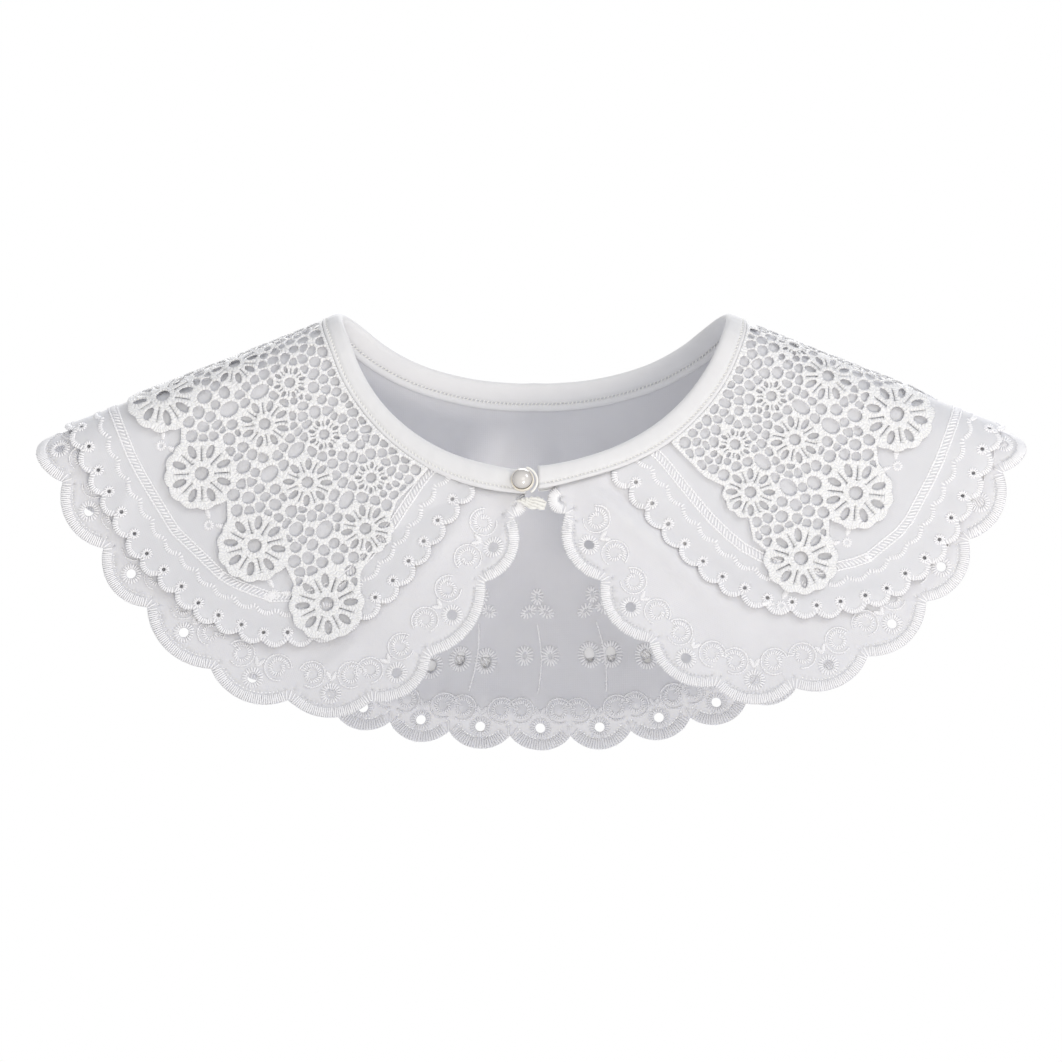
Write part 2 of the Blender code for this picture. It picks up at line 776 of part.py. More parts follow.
def back_lace_gaps(panel, pitch, outline):
    gaps = []
    for i in range(-1, LACE_BACK_COLUMNS + 1):
        for share_of_pitch, share, across, along, sides in LACE_GAPS:
            turn = FULL_ANGLE - (i + 0.5 + share_of_pitch) * pitch
            radius = LACE_BACK_RADIUS * share
            centre = radius * math.sin(turn), radius * math.cos(turn)
            margin = max(across, along) * MM + LACE_BAR
            if inside(centre, outline) and distance_to(centre, outline) > margin:
                gaps.append(ring(centre, across * MM, along * MM, sides))
    return gaps


def angle_at(side, radius, x):
    """Angle from the ridge at which a radius on the front reaches a distance from the middle plane."""
    low, high = math.radians(45), math.radians(80)
    for _ in range(40):
        middle = (low + high) / 2
        if abs(x) < side * cloth_point(side, -1, radius, middle, 0.0).x:
            low = middle
        else:
            high = middle
    return low


def add_neckband(collection, look):
    """The band from its left front end round the back to its right front end."""
    stations = []
    for side, end in ((-1, BAND_END_LEFT), (1, BAND_END_RIGHT)):
        table = FrontPanel(side).band
        rows = [(side, -1, math.radians(a), math.radians(a)) for a in BAND_STATIONS]
        last = [angle_at(side, read_table(table, 2, column), end) for column in (1, 2)]
        rows.append((side, -1, *last))
        half = [(side, 1, math.radians(a), math.radians(a)) for a in BAND_STATIONS[1:]]
        stations.append([*rows[::-1], *half])
    centre = [(1, 1, centre_angle(read_table(BAND_BACK, 2, c)), 0) for c in (1, 2)]
    middle = (1, 1, centre[0][2], centre[1][2])
    mesh = bmesh.new()
    rows = []
    for side, face, top_angle, seam_angle in [*stations[0], middle, *stations[1][::-1]]:
        table = BAND_BACK if face > 0 else FrontPanel(side).band
        pair = []
        for angle, column in ((top_angle, 1), (seam_angle, 2)):
            radius = read_table(table, angle, column)
            pair.append(mesh.verts.new(cloth_point(side, face, radius, angle, BAND_UNDER)))
        rows.append(pair)
    for (a, b), (c, d) in zip(rows, rows[1:]):
        mesh.faces.new((a, b, d, c))
    face_outward(mesh)
    data = bpy.data.meshes.new("neckband")
    mesh.to_mesh(data)
    mesh.free()
    made = add_object("neckband", data, collection, look)
    add_wall(made, BAND_WALL)
    soft = made.modifiers.new("Soft edges", "BEVEL")
    soft.width = BAND_SOFTNESS
    soft.segments = 1
    soft.limit_method = "ANGLE"
    soft.angle_limit = math.radians(50)


def button_frame():
    """Place of the button on the band, and the band's outward direction there."""
    radius, angle = front_polar(BUTTON_X, BUTTON_Z)
    surface = cloth_point(-1, -1, radius, angle, BAND_UNDER + BAND_WALL)
    above = cloth_point(-1, -1, radius, angle, BAND_UNDER + BAND_WALL + MM)
    return surface, (above - surface).normalized()


def stand_on(made, place, normal):
    made.location = place
    made.rotation_euler = normal.to_track_quat("Z", "Y").to_euler()


def add_button(collection, pearl_look, bezel_look):
    place, normal = button_frame()
    profile = [(0.0, 0.0), (BEZEL_RADIUS - BEZEL_EDGE, 0.0), (BEZEL_RADIUS, BEZEL_EDGE)]
    profile.append((BEZEL_RADIUS, BEZEL_DEPTH))
    seat_radius, seat_depth = PEARL_RADIUS + SEAM_GAP, PEARL_DEPTH + SEAM_GAP
    rim_turn = math.asin((PEARL_LIFT - BEZEL_DEPTH) / seat_depth)
    for i in range(BEZEL_STEPS + 1):
        turn = rim_turn + (math.pi / 2 - rim_turn) * i / BEZEL_STEPS
        reach = 0.0 if i == BEZEL_STEPS else seat_radius * math.cos(turn)
        profile.append((reach, PEARL_LIFT - seat_depth * math.sin(turn)))
    data = bpy.data.meshes.new("pearl_bezel")
    points = [(r, 0, z) for r, z in reversed(profile)]
    data.from_pydata(points, [(i, i + 1) for i in range(len(points) - 1)], [])
    bezel = add_object("pearl_bezel", data, collection, bezel_look)
    turned = bezel.modifiers.new("Turned", "SCREW")
    turned.steps = turned.render_steps = BEZEL_SIDES
    turned.use_merge_vertices = True
    turned.merge_threshold = 0.00001
    turned.use_normal_calculate = True
    stand_on(bezel, place + normal * SEAM_GAP, normal)

    bpy.ops.mesh.primitive_uv_sphere_add(segments=BEZEL_SIDES, ring_count=PEARL_RINGS, radius=PEARL_RADIUS)
    pearl = bpy.context.object
    pearl.name = pearl.data.name = "pearl"
    for vertex in pearl.data.vertices:
        vertex.co.z *= PEARL_DEPTH / PEARL_RADIUS
    pearl.data.shade_smooth()
    pearl.data.materials.append(pearl_look)
    for owner in pearl.users_collection:
        owner.objects.unlink(pearl)
    collection.objects.link(pearl)
    stand_on(pearl, place + normal * (SEAM_GAP + PEARL_LIFT), normal)


def add_thread_loop(collection, look):
    """Worked thread loop that passes round the right of the button."""
    place, normal = button_frame()
    right = Vector((1, 0, 0))
    up = normal.cross(right).normalized() * -1
    if up.z < 0:
        up.negate()
    centre = place + normal * (SEAM_GAP + LOOP_THREAD)
    curve = bpy.data.curves.new("thread_loop", "CURVE")
    curve.dimensions = "3D"
    curve.bevel_depth = LOOP_THREAD
    curve.bevel_resolution = 2
    curve.use_fill_caps = True
    spline = curve.splines.new("POLY")
    spline.points.add(LOOP_POINTS - 1)
    for i, point in enumerate(spline.points):
        turn = LOOP_FIRST + (LOOP_LAST - LOOP_FIRST) * i / (LOOP_POINTS - 1)
        spot = centre + (right * math.cos(turn) + up * math.sin(turn)) * LOOP_RADIUS
        point.co = (*spot, 1)
    made = bpy.data.objects.new("thread_loop", curve)
    curve.materials.append(look)
    collection.objects.link(made)


def add_band_end_tab(collection, look):
    """Folded end of the left band, below the button."""
    mesh = bmesh.new()
    corners = []
    for x, z in TAB_OUTLINE:
        radius, angle = front_polar(x * MM, z * MM)
        side = 1 if x > 0 else -1
        corners.append(mesh.verts.new(cloth_point(side, -1, radius, angle, TAB_HEIGHT)))
    mesh.faces.new(corners)
    bmesh.ops.triangulate(mesh, faces=mesh.faces)
    face_outward(mesh)
    data = bpy.data.meshes.new("band_end_tab")
    mesh.to_mesh(data)
    mesh.free()
    add_wall(add_object("band_end_tab", data, collection, look), TAB_WALL)


def main():
    for old in list(bpy.data.objects):
        bpy.data.objects.remove(old, do_unlink=True)
    collection = bpy.data.collections.new("lace_capelet")
    bpy.context.scene.collection.children.link(collection)
    cotton = material("white cotton", (0.86, 0.86, 0.85), 0.85, 0.2)
    voile = material("white voile", (0.84, 0.84, 0.85), 0.75, 0.2)
    guipure = material("white guipure thread", (0.88, 0.88, 0.88), 0.7, 0.1)
    binding = material("white cotton binding", (0.87, 0.87, 0.85), 0.8, 0.2)
    nacre = material("pearl nacre", (0.83, 0.82, 0.79), 0.15)
    ivory = material("ivory bezel", (0.74, 0.68, 0.56), 0.4)
    thread = material("cream thread", (0.80, 0.77, 0.69), 0.7)
    add_base(collection, cotton)
    add_middle(collection, voile)
    add_lace(collection, guipure)
    add_neckband(collection, binding)
    add_button(collection, nacre, ivory)
    add_thread_loop(collection, thread)
    add_band_end_tab(collection, thread)


main()
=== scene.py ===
import math

import bpy
import numpy as np
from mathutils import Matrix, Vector
from mathutils.geometry import delaunay_2d_cdt
from mathutils.kdtree import KDTree


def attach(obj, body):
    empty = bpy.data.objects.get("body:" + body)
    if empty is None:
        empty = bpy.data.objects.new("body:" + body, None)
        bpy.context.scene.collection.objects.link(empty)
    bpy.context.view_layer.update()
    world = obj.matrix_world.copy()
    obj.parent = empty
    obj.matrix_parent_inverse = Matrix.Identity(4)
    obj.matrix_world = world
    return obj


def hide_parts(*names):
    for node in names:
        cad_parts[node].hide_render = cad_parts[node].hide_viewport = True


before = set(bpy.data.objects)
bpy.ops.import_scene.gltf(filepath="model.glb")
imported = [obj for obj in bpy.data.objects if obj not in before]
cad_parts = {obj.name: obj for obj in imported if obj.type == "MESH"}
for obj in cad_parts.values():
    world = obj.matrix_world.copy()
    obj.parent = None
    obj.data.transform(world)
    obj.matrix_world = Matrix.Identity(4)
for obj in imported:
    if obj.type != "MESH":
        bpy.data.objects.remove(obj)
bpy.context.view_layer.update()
print("lace capelet: frame loaded")

# Flat places are in mm. The front's chart starts at the apex over the neck; the shoulder ridge is its first axis.
mm = 0.001
form = {  # the shape the cloth hangs in, in mm and degrees
    "apexHeight": 30.0, "shoulderAngle": 68.0, "ridgeRadius": 20.0, "faceAngle": 75.0,
    "centreRounding": 30.0, "hemRadius": 229.0,
    "flare": 1.5, "flareStart": 100.0, "flareLength": 120.0, "creaseGain": 2.2, "centreBlend": 7.0,
}
layers = {  # height of a layer's underside over the base, its thickness, its share of the flare, its stitches' lift
    "cotton": {"height": 0.25, "thickness": 0.5, "flare": 0.0, "lift": 0.25},
    "voile": {"height": 1.65, "thickness": 0.3, "flare": 1.0, "lift": 0.15},
    "guipure": {"height": 2.7, "flare": 1.45},
}
folds = {  # the large soft folds: angle from the ridge, half width, where it starts, height at the hem
    ("front", -1): ((56, 6, 115, 2.2), (44, 6, 120, -1.8), (30, 7, 130, 2.0), (18, 5, 150, -1.2)),
    ("front", 1): ((58, 7, 105, 3.4), (47, 5, 110, -1.6), (36, 6, 125, 1.8), (23, 6, 140, -1.5), (11, 4, 160, 0.9)),
    ("back", -1): ((61, 7, 95, 2.0), (47, 7, 110, -2.0), (32, 7, 120, 1.8), (17, 6, 140, -1.4)),
    ("back", 1): ((64, 6, 100, -1.4), (51, 7, 100, 2.2), (37, 7, 115, -1.9), (21, 7, 130, 1.7)),
}
creases = {  # small creases from one angle and radius to another: half width and height, troughs below zero
    ("front", -1): (
        (57, 119, 46, 150, 3.0, -0.7), (61, 122, 52, 168, 3.6, 0.9), (64, 124, 61, 158, 2.6, -0.9),
        (66, 124, 66, 142, 2.0, 0.8), (50, 116, 43, 132, 2.2, -0.5), (38, 205, 30, 224, 4.5, -0.7),
        (12, 200, 16, 226, 4.0, 0.6), (48, 196, 44, 222, 4.0, 0.8),
    ),
    ("front", 1): (
        (61, 117, 50, 150, 3.0, 1.1), (56, 116, 47, 146, 3.4, -1.3), (64, 120, 57, 160, 3.2, -0.9),
        (52, 140, 44, 186, 4.2, 1.2), (49, 138, 41, 180, 3.6, -1.0), (66, 122, 64, 140, 2.2, 0.8),
        (30, 206, 26, 226, 4.5, 0.8), (14, 204, 10, 222, 4.0, -0.6), (43, 196, 37, 220, 4.0, -0.8),
    ),
    ("back", -1): (
        (67, 92, 58, 128, 5.0, 0.8), (60, 90, 50, 132, 5.0, -0.9), (66, 150, 60, 196, 6.0, -0.9),
        (52, 160, 47, 205, 6.0, 1.0), (40, 120, 34, 190, 6.0, -0.8), (24, 110, 20, 170, 5.0, 0.7),
    ),
    ("back", 1): (
        (66, 94, 60, 140, 5.0, -0.9), (58, 92, 48, 138, 5.5, 1.0), (63, 155, 58, 200, 6.0, 1.1),
        (50, 150, 45, 205, 6.0, -1.0), (38, 115, 32, 186, 6.0, 0.9), (22, 112, 18, 168, 5.0, -0.6),
    ),
}
sideOf = {"frontLeft": -1, "frontRight": 1}


def eased(value, low, high):
    share = np.clip((value - low) / (high - low), 0.0, 1.0)
    return share * share * (3 - 2 * share)


def centreAngle(radius):  # angle from the ridge at which a radius meets the middle plane
    lean = math.cos(math.radians(form["shoulderAngle"])) * math.sin(math.radians(form["faceAngle"]))
    rise = math.sin(math.radians(form["shoulderAngle"]))
    turn = math.radians(form["faceAngle"])
    bend = form["ridgeRadius"] * (1 - math.cos(turn) - turn * math.sin(turn))
    share = math.cos(math.radians(form["shoulderAngle"])) * bend / (np.maximum(radius, 20.0) * math.hypot(rise, lean))
    return np.arccos(np.minimum(share, 0.99)) - math.atan2(lean, rise)


fullAngle = float(centreAngle(form["hemRadius"]))


def foldHeight(side, face, radius, angle):
    height = np.zeros_like(radius)
    degrees = np.degrees(angle)
    u, v = radius * np.cos(angle), radius * np.sin(angle)
    share = np.where(side > 0, 1.0, 0.0) * np.ones_like(radius)
    if face == "back":  # both sides' folds meet softly at the centre back
        toCentre = np.degrees(centreAngle(radius)) - degrees
        share = 0.5 + 0.5 * side * eased(toCentre, 0.0, form["centreBlend"])
    for hand in (-1, 1):
        total = np.zeros_like(radius)
        for middle, width, start, size in folds[(face, hand)]:
            reach = np.maximum(radius - start, 0.0) / (form["hemRadius"] - start)
            total += size * np.exp(-((degrees - middle) / width) ** 2) * reach ** 1.3
        for a0, r0, a1, r1, width, size in creases[(face, hand)]:
            x0, y0 = r0 * math.cos(math.radians(a0)), r0 * math.sin(math.radians(a0))
            dx, dy = r1 * math.cos(math.radians(a1)) - x0, r1 * math.sin(math.radians(a1)) - y0
            passed = np.clip(((u - x0) * dx + (v - y0) * dy) / (dx * dx + dy * dy), 0.0, 1.0)
            away = np.hypot(u - x0 - passed * dx, v - y0 - passed * dy)
            total += form["creaseGain"] * size * np.exp(-(away / width) ** 2) * np.sin(math.pi * passed) ** 0.7
        height += total * (share if hand > 0 else 1 - share)
    return height


def drape(side, face, radius, angle, height):  # places on the cloth in metres, from polar places in mm and radians
    radius, angle, height = np.broadcast_arrays(np.atleast_1d(np.asarray(radius, float)), angle, height)
    lean, bend = math.radians(form["shoulderAngle"]), form["ridgeRadius"]
    faceTurn = math.radians(form["faceAngle"])
    along, across = radius * np.cos(angle), radius * np.sin(angle)
    turn = np.minimum(across / bend, faceTurn)
    rest = np.maximum(across - bend * faceTurn, 0.0)
    faced = eased(across, 0.0, bend * faceTurn)
    height = height + faced * foldHeight(side, face, radius, angle)
    drop = bend * (1 - np.cos(turn)) + rest * math.sin(faceTurn) - height * np.cos(turn)
    depth = bend * np.sin(turn) + rest * math.cos(faceTurn) + height * np.sin(turn)
    x = along * math.sin(lean) - drop * math.cos(lean)
    z = form["apexHeight"] - along * math.cos(lean) - drop * math.sin(lean)
    easing = (np.hypot(x, form["centreRounding"]) - np.abs(x)) * math.cos(lean)
    depth = depth - faced * easing / math.tan(faceTurn)
    return np.stack((side * x, (-1 if face == "front" else 1) * depth, z), axis=1) * mm


def flatOf(panel, side, radius, angle):
    radius, angle = np.asarray(radius, float), np.asarray(angle, float)
    if panel == "back":
        turn = side * fullAngle * (1 - angle / centreAngle(radius))
        return np.stack((radius * np.sin(turn), radius * np.cos(turn)), axis=-1)
    return np.stack((radius * np.cos(angle), radius * np.sin(angle)), axis=-1)


def place(panel, flat, height):
    radius = np.hypot(flat[:, 0], flat[:, 1])
    if panel == "back":
        turn = np.arctan2(flat[:, 0], flat[:, 1])
        side = np.where(turn >= 0, 1.0, -1.0)
        return drape(side, "back", radius, centreAngle(radius) * (1 - np.abs(turn) / fullAngle), height)
    return drape(sideOf[panel], "front", radius, np.arctan2(flat[:, 1], flat[:, 0]), height)


def layerHeight(layer, flat):
    share = np.clip((np.hypot(flat[:, 0], flat[:, 1]) - form["flareStart"]) / form["flareLength"], 0.0, 1.0)
    return layers[layer]["height"] + layers[layer]["flare"] * form["flare"] * share * share


# ---- materials
def linear(code):  # sRGB hex to linear
    parts = [int(code[i:i + 2], 16) / 255 for i in (1, 3, 5)]
    return (*[p / 12.92 if p <= 0.04045 else ((p + 0.055) / 1.055) ** 2.4 for p in parts], 1.0)


def addNode(material, kind, settings=None, sockets=None):
    node = material.node_tree.nodes.new(kind)
    for name, value in (settings or {}).items():
        setattr(node, name, value)
    for name, value in (sockets or {}).items():
        if isinstance(value, bpy.types.NodeSocket):
            material.node_tree.links.new(value, node.inputs[name])
        else:
            node.inputs[name].default_value = value
    return node


def startMaterial(name, roughness, sheen=0.0, coat=0.0, alpha=1.0, ior=1.5, through=0.0):
    material = bpy.data.materials.new(name)
    material.use_nodes = True
    shader = material.node_tree.nodes["Principled BSDF"]
    for name, value in (("Roughness", roughness), ("Sheen Weight", sheen), ("Sheen Roughness", 0.5),
                        ("Coat Weight", coat), ("Alpha", alpha), ("IOR", ior), ("Subsurface Weight", through),
                        ("Subsurface Radius", (1.5 * mm, 1.45 * mm, 1.3 * mm)), ("Subsurface Scale", 1.0)):
        shader.inputs[name].default_value = value
    return material, shader


def giveTint(material, shader, share, first, second):  # a base colour that goes from one tone to another
    tint = addNode(material, "ShaderNodeMix", {"data_type": "RGBA"}, {
        "Factor": share, 6: linear(first), 7: linear(second)})
    material.node_tree.links.new(tint.outputs[2], shader.inputs["Base Color"])


def giveRelief(material, shader, *steps):  # bumps one over another: each one's height, distance in mm and strength
    under = {}
    for height, distance, strength in steps:
        bump = addNode(material, "ShaderNodeBump", {}, {
            "Height": height, "Distance": distance * mm, "Strength": strength, **under})
        under = {"Normal": bump.outputs["Normal"]}
    material.node_tree.links.new(bump.outputs["Normal"], shader.inputs["Normal"])


def wovenMaterial(name, light, dark, spacing, depth, slub, roughness, sheen, through, alpha=1.0):
    # A plain weave in the cloth's own flat places: two sets of threads and uneven, thicker ones among them.
    # The cloth is thin, so some light comes through it.
    material, shader = startMaterial(name, roughness, sheen, alpha=alpha, through=through)
    flat = addNode(material, "ShaderNodeUVMap", {"uv_map": "cloth"})
    waves = []
    for direction in ("X", "Y"):
        wave = addNode(material, "ShaderNodeTexWave", {"bands_direction": direction}, {
            "Vector": flat.outputs["UV"], "Scale": 0.314 / spacing, "Distortion": 0.6, "Detail": 1.0,
            "Detail Scale": 0.6})
        waves.append(wave.outputs["Fac"])
    weave = addNode(material, "ShaderNodeMath", {"operation": "MAXIMUM"}, {0: waves[0], 1: waves[1]})
    rumple = addNode(material, "ShaderNodeTexNoise", {}, {
        "Vector": flat.outputs["UV"], "Scale": slub, "Detail": 3.0})
    giveTint(material, shader, rumple.outputs["Fac"], dark, light)
    giveRelief(material, shader, (weave.outputs[0], depth, 0.6), (rumple.outputs["Fac"], 0.6, 0.35))
    return material


def threadMaterial(name, colour, shade, roughness, sheen, twist):
    # Embroidery thread: many fine filaments, so a soft gloss and a slight change of tone from stitch to stitch.
    material, shader = startMaterial(name, roughness, sheen)
    where = addNode(material, "ShaderNodeTexCoord")
    grain = addNode(material, "ShaderNodeTexNoise", {}, {
        "Vector": where.outputs["Object"], "Scale": twist, "Detail": 2.0})
    giveTint(material, shader, grain.outputs["Fac"], shade, colour)
    giveRelief(material, shader, (grain.outputs["Fac"], 0.12, 0.4))
    return material


def laceMaterial(name, colour, shade):
    # Guipure: cords worked over with close satin stitches, ribs square to each edge and small needle pits.
    # The ribs are drawn 1.2 mm apart, twice their real spacing, so that they show.
    material, shader = startMaterial(name, 0.62, 0.25, through=0.4)
    thread = addNode(material, "ShaderNodeUVMap", {"uv_map": "thread"})
    flat = addNode(material, "ShaderNodeUVMap", {"uv_map": "cloth"})
    ribs = addNode(material, "ShaderNodeTexWave", {"bands_direction": "X"}, {
        "Vector": thread.outputs["UV"], "Scale": 0.26, "Distortion": 0.5, "Detail": 1.0, "Detail Scale": 0.8})
    pits = addNode(material, "ShaderNodeTexVoronoi", {}, {"Vector": flat.outputs["UV"], "Scale": 0.45})
    sunk = addNode(material, "ShaderNodeMapRange", {}, {
        "Value": pits.outputs["Distance"], "From Min": 0.12, "From Max": 0.26})
    relief = addNode(material, "ShaderNodeMath", {"operation": "MULTIPLY"}, {
        0: ribs.outputs["Fac"], 1: sunk.outputs["Result"]})
    # Painted shade: the colour goes from white to the shade tone in the troughs between the ribs and in the needle
    # pits, where the relief is low.
    giveTint(material, shader, relief.outputs[0], shade, colour)
    giveRelief(material, shader, (relief.outputs[0], 0.5, 0.6))
    return material


looks = {
    # Guipure: white cords, with #EFEFF2 as painted shade in the rib troughs and needle pits.
    "guipure": laceMaterial("guipure cotton thread", "#FFFFFF", "#EFEFF2"),
    # Cotton lawn: matt, faintly fuzzy, with a close weave. 0.25 mm threads are drawn 0.8 mm apart to show.
    "cotton": wovenMaterial("cotton lawn", "#DBDBDF", "#D2D2D7", 0.8, 0.06, 0.05, 0.9, 0.25, 0.6),
    # Cotton voile: thin and open, so the cotton under it shows through a little. Threads drawn 0.9 mm apart.
    "voile": wovenMaterial("cotton voile", "#F4F4F8", "#ECECF1", 0.9, 0.05, 0.06, 0.85, 0.2, 0.5, 0.89),
    # Bias binding: the same cotton, cut on the cross and pressed.
    "binding": wovenMaterial("cotton bias binding", "#E6E6E8", "#DEDEE1", 0.7, 0.05, 0.09, 0.85, 0.2, 0.2),
    "stitching": threadMaterial("rayon embroidery thread", "#FCFCFE", "#F3F3F7", 0.5, 0.15, 900.0),
    "sewing": threadMaterial("polyester sewing thread", "#FAFAF8", "#EDEDEA", 0.55, 0.1, 900.0),
    "cream": threadMaterial("cream cotton thread", "#F6F6F4", "#E2E1DD", 0.65, 0.15, 700.0),
}


# ---- mesh helpers
def newPiece(name, points, faces, look, uvs=None):
    mesh = bpy.data.meshes.new(name)
    mesh.from_pydata(points.tolist(), [], faces.tolist())
    if uvs is not None:
        for layerName, places in uvs.items():
            layer = mesh.uv_layers.new(name=layerName)
            corners = places if len(places) == len(mesh.loops) else places[faces.ravel()]
            layer.data.foreach_set("uv", np.ascontiguousarray(corners, np.float32).ravel())
    mesh.polygons.foreach_set("use_smooth", [True] * len(mesh.polygons))
    mesh.materials.append(look)
    piece = bpy.data.objects.new(name, mesh)
    bpy.context.scene.collection.objects.link(piece)
    return piece


def settle(piece, slotName, *nodes):  # onto the only body; the solid that it stands for is hidden
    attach(piece, "root")
    if nodes:
        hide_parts(*nodes)


def thicken(piece, thickness, offset=1.0):
    bpy.ops.object.select_all(action="DESELECT")
    piece.select_set(True)
    bpy.context.view_layer.objects.active = piece
    wall = piece.modifiers.new("Wall", "SOLIDIFY")
    wall.thickness = thickness * mm
    wall.offset = offset
    bpy.ops.object.modifier_apply(modifier="Wall")


def insideLoop(points, loop):  # which points lie inside a closed loop, by counting crossings
    found = np.zeros(len(points), bool)
    low, high = loop.min(axis=0), loop.max(axis=0)
    near = np.flatnonzero(((points >= low) & (points <= high)).all(axis=1))
    x0, y0 = loop[:, 0], loop[:, 1]
    x1, y1 = np.roll(x0, -1), np.roll(y0, -1)
    rise = np.where(y1 == y0, 1e-12, y1 - y0)
    for part in np.array_split(near, max(len(near) // 3000, 1)):
        x, y = points[part, 0:1], points[part, 1:2]
        crossed = ((y0 > y) != (y1 > y)) & (x < x0 + (x1 - x0) * (y - y0) / rise)
        found[part] = crossed.sum(axis=1) % 2 == 1
    return found


def insideAny(points, loops):  # the same for many small loops: only points near each one are looked at
    found = np.zeros(len(points), bool)
    order = np.argsort(points[:, 0])
    sortedX = points[order, 0]
    for loop in loops:
        first, last = np.searchsorted(sortedX, (loop[:, 0].min(), loop[:, 0].max()))
        near = order[first:last]
        near = near[(points[near, 1] >= loop[:, 1].min()) & (points[near, 1] <= loop[:, 1].max())]
        found[near[insideLoop(points[near], loop)]] = True
    return found


def outwardFaces(points, faces):  # the faces, turned so that they look away from the middle plane
    a, b, c = (points[faces[:, i]] for i in range(3))
    normal = np.cross(b - a, c - a)
    if (normal[:, 1] * (a + b + c)[:, 1]).sum() < 0:
        return faces[:, ::-1]
    return faces


def closedFaces(points, faces):  # the faces of closed grains round the origin, turned so that they look outwards
    a, b, c = (points[faces[:, i]] for i in range(3))
    return faces[:, ::-1] if (a * np.cross(b, c)).sum() < 0 else faces


def gridFaces(rows, columns, closed):  # the faces of a grid of places, its last column joined to its first or not
    index = np.arange(rows * columns).reshape(rows, columns)
    after = np.roll(index, -1, axis=1)
    faces = np.stack((index[:-1], after[:-1], after[1:], index[1:]), axis=-1)
    return (faces if closed else faces[:, :-1]).reshape(-1, 4)


def heading(turns):  # one long, towards each angle
    return np.stack((np.cos(turns), np.sin(turns)), axis=-1)


def lengthsAlong(path):
    return np.concatenate(([0.0], np.cumsum(np.linalg.norm(np.diff(path, axis=0), axis=1))))


def placesAlong(path, lengths, targets):
    return np.stack([np.interp(targets, lengths, column) for column in path.T], axis=1)


def evenly(path, pitch, closed=False, span=None):  # places a pitch apart along a path, and the way of travel there
    span = pitch * 0.4 if span is None else span
    path = np.asarray(path, float)
    if closed:
        path = np.vstack((path, path[:1]))
    lengths = lengthsAlong(path)
    count = max(round(lengths[-1] / pitch), 2)
    targets = (np.arange(count) + 0.5) * lengths[-1] / count
    found, ahead, behind = (placesAlong(path, lengths, targets + shift) for shift in (0.0, span, -span))
    step = ahead - behind
    return found, np.arctan2(step[:, 1], step[:, 0])


def shifted(path, distance):  # a path moved to the left of its travel
    path = np.asarray(path, float)
    step = np.gradient(path, axis=0)
    step /= np.hypot(step[:, 0], step[:, 1])[:, None]
    return path + distance * np.stack((-step[:, 1], step[:, 0]), axis=1)


def scallopEdge(notches, depth, steps):  # arcs between notches that bulge to the right of travel
    points = []
    for (x0, y0), (x1, y1) in zip(notches, notches[1:]):
        length = math.hypot(x1 - x0, y1 - y0)
        out = (y1 - y0) / length, -(x1 - x0) / length
        radius = (length * length / 4 + depth * depth) / (2 * depth)
        half = math.asin(min(length / 2 / radius, 1.0))
        for i in range(steps):
            turn = half * (2 * i / steps - 1)
            share = math.sin(turn) * radius / length + 0.5
            rise = (math.cos(turn) - math.cos(half)) * radius
            points.append((x0 + (x1 - x0) * share + out[0] * rise, y0 + (y1 - y0) * share + out[1] * rise))
    points.append(tuple(notches[-1]))
    return np.array(points)


def ovalLoop(centre, across, along, way, sides):
    turn = 2 * math.pi * (np.arange(sides) + 0.5) / sides
    a, b = along * np.cos(turn), across * np.sin(turn)
    cos, sin = math.cos(way), math.sin(way)
    return np.stack((centre[0] + a * cos - b * sin, centre[1] + a * sin + b * cos), axis=1)


def ringLoop(centre, across, along, sides):  # a round or oval gap whose second half size points to the apex
    return ovalLoop(centre, across, along, math.atan2(centre[1], centre[0]), sides)


def cubicTable(table, angle, column):  # smooth value of a column at an angle in degrees
    rows = np.array([(row[0], row[column]) for row in table], float)
    x, y = rows[:, 0], rows[:, 1]
    slope = np.empty_like(y)
    slope[1:-1] = (y[2:] - y[:-2]) / (x[2:] - x[:-2])
    slope[0], slope[-1] = (y[1] - y[0]) / (x[1] - x[0]), (y[-1] - y[-2]) / (x[-1] - x[-2])
    angle = np.clip(angle, x[0], x[-1])
    i = np.clip(np.searchsorted(x, angle, side="right") - 1, 0, len(x) - 2)
    width = x[i + 1] - x[i]
    s = (angle - x[i]) / width
    return (y[i] * (1 + 2 * s) * (1 - s) ** 2 + y[i + 1] * s * s * (3 - 2 * s)
            + width * (slope[i] * s * (1 - s) ** 2 - slope[i + 1] * s * s * (1 - s)))


def lattice(panel, step):  # staggered rows of places along the ridge, closer where the cloth turns over it
    levels, across = [], 0.45 * step
    while across < 250:
        levels.append(across)
        across += step * (0.6 if across < 28 else 0.87)
    places = []
    for i, across in enumerate(levels):
        along = np.arange(i % 2 * step / 2, 250, step)
        places.append(np.stack((np.hypot(along, across), np.arctan2(across, along)), axis=1))
    radius, angle = np.vstack(places).T
    if panel != "back":
        return flatOf(panel, sideOf[panel], radius, angle)
    kept = angle < centreAngle(radius) - 0.4 * step / radius
    radius, angle = radius[kept], angle[kept]
    middle = np.arange(0, 250, step)
    return np.vstack((flatOf(panel, 1, radius, angle), flatOf(panel, -1, radius, angle),
                      np.stack((middle * 0, middle), axis=1)))


def edgeTree(loops, pitch):  # for the distance to the nearest edge: its samples, and each one's loop, length and way
    found = []
    for number, loop in enumerate(loops):
        places, ways = evenly(loop, pitch, True)
        lengths = np.arange(len(places)) * pitch
        found.append(np.column_stack((places, np.full(len(places), number), lengths, ways)))
    samples = np.vstack(found)
    tree = KDTree(len(samples))
    for i, (x, y) in enumerate(samples[:, :2].tolist()):
        tree.insert((x, y, 0), i)
    tree.balance()
    return tree, samples


def distanceTo(tree, points):
    return np.array([tree.find((x, y, 0))[2] for x, y in points.tolist()])


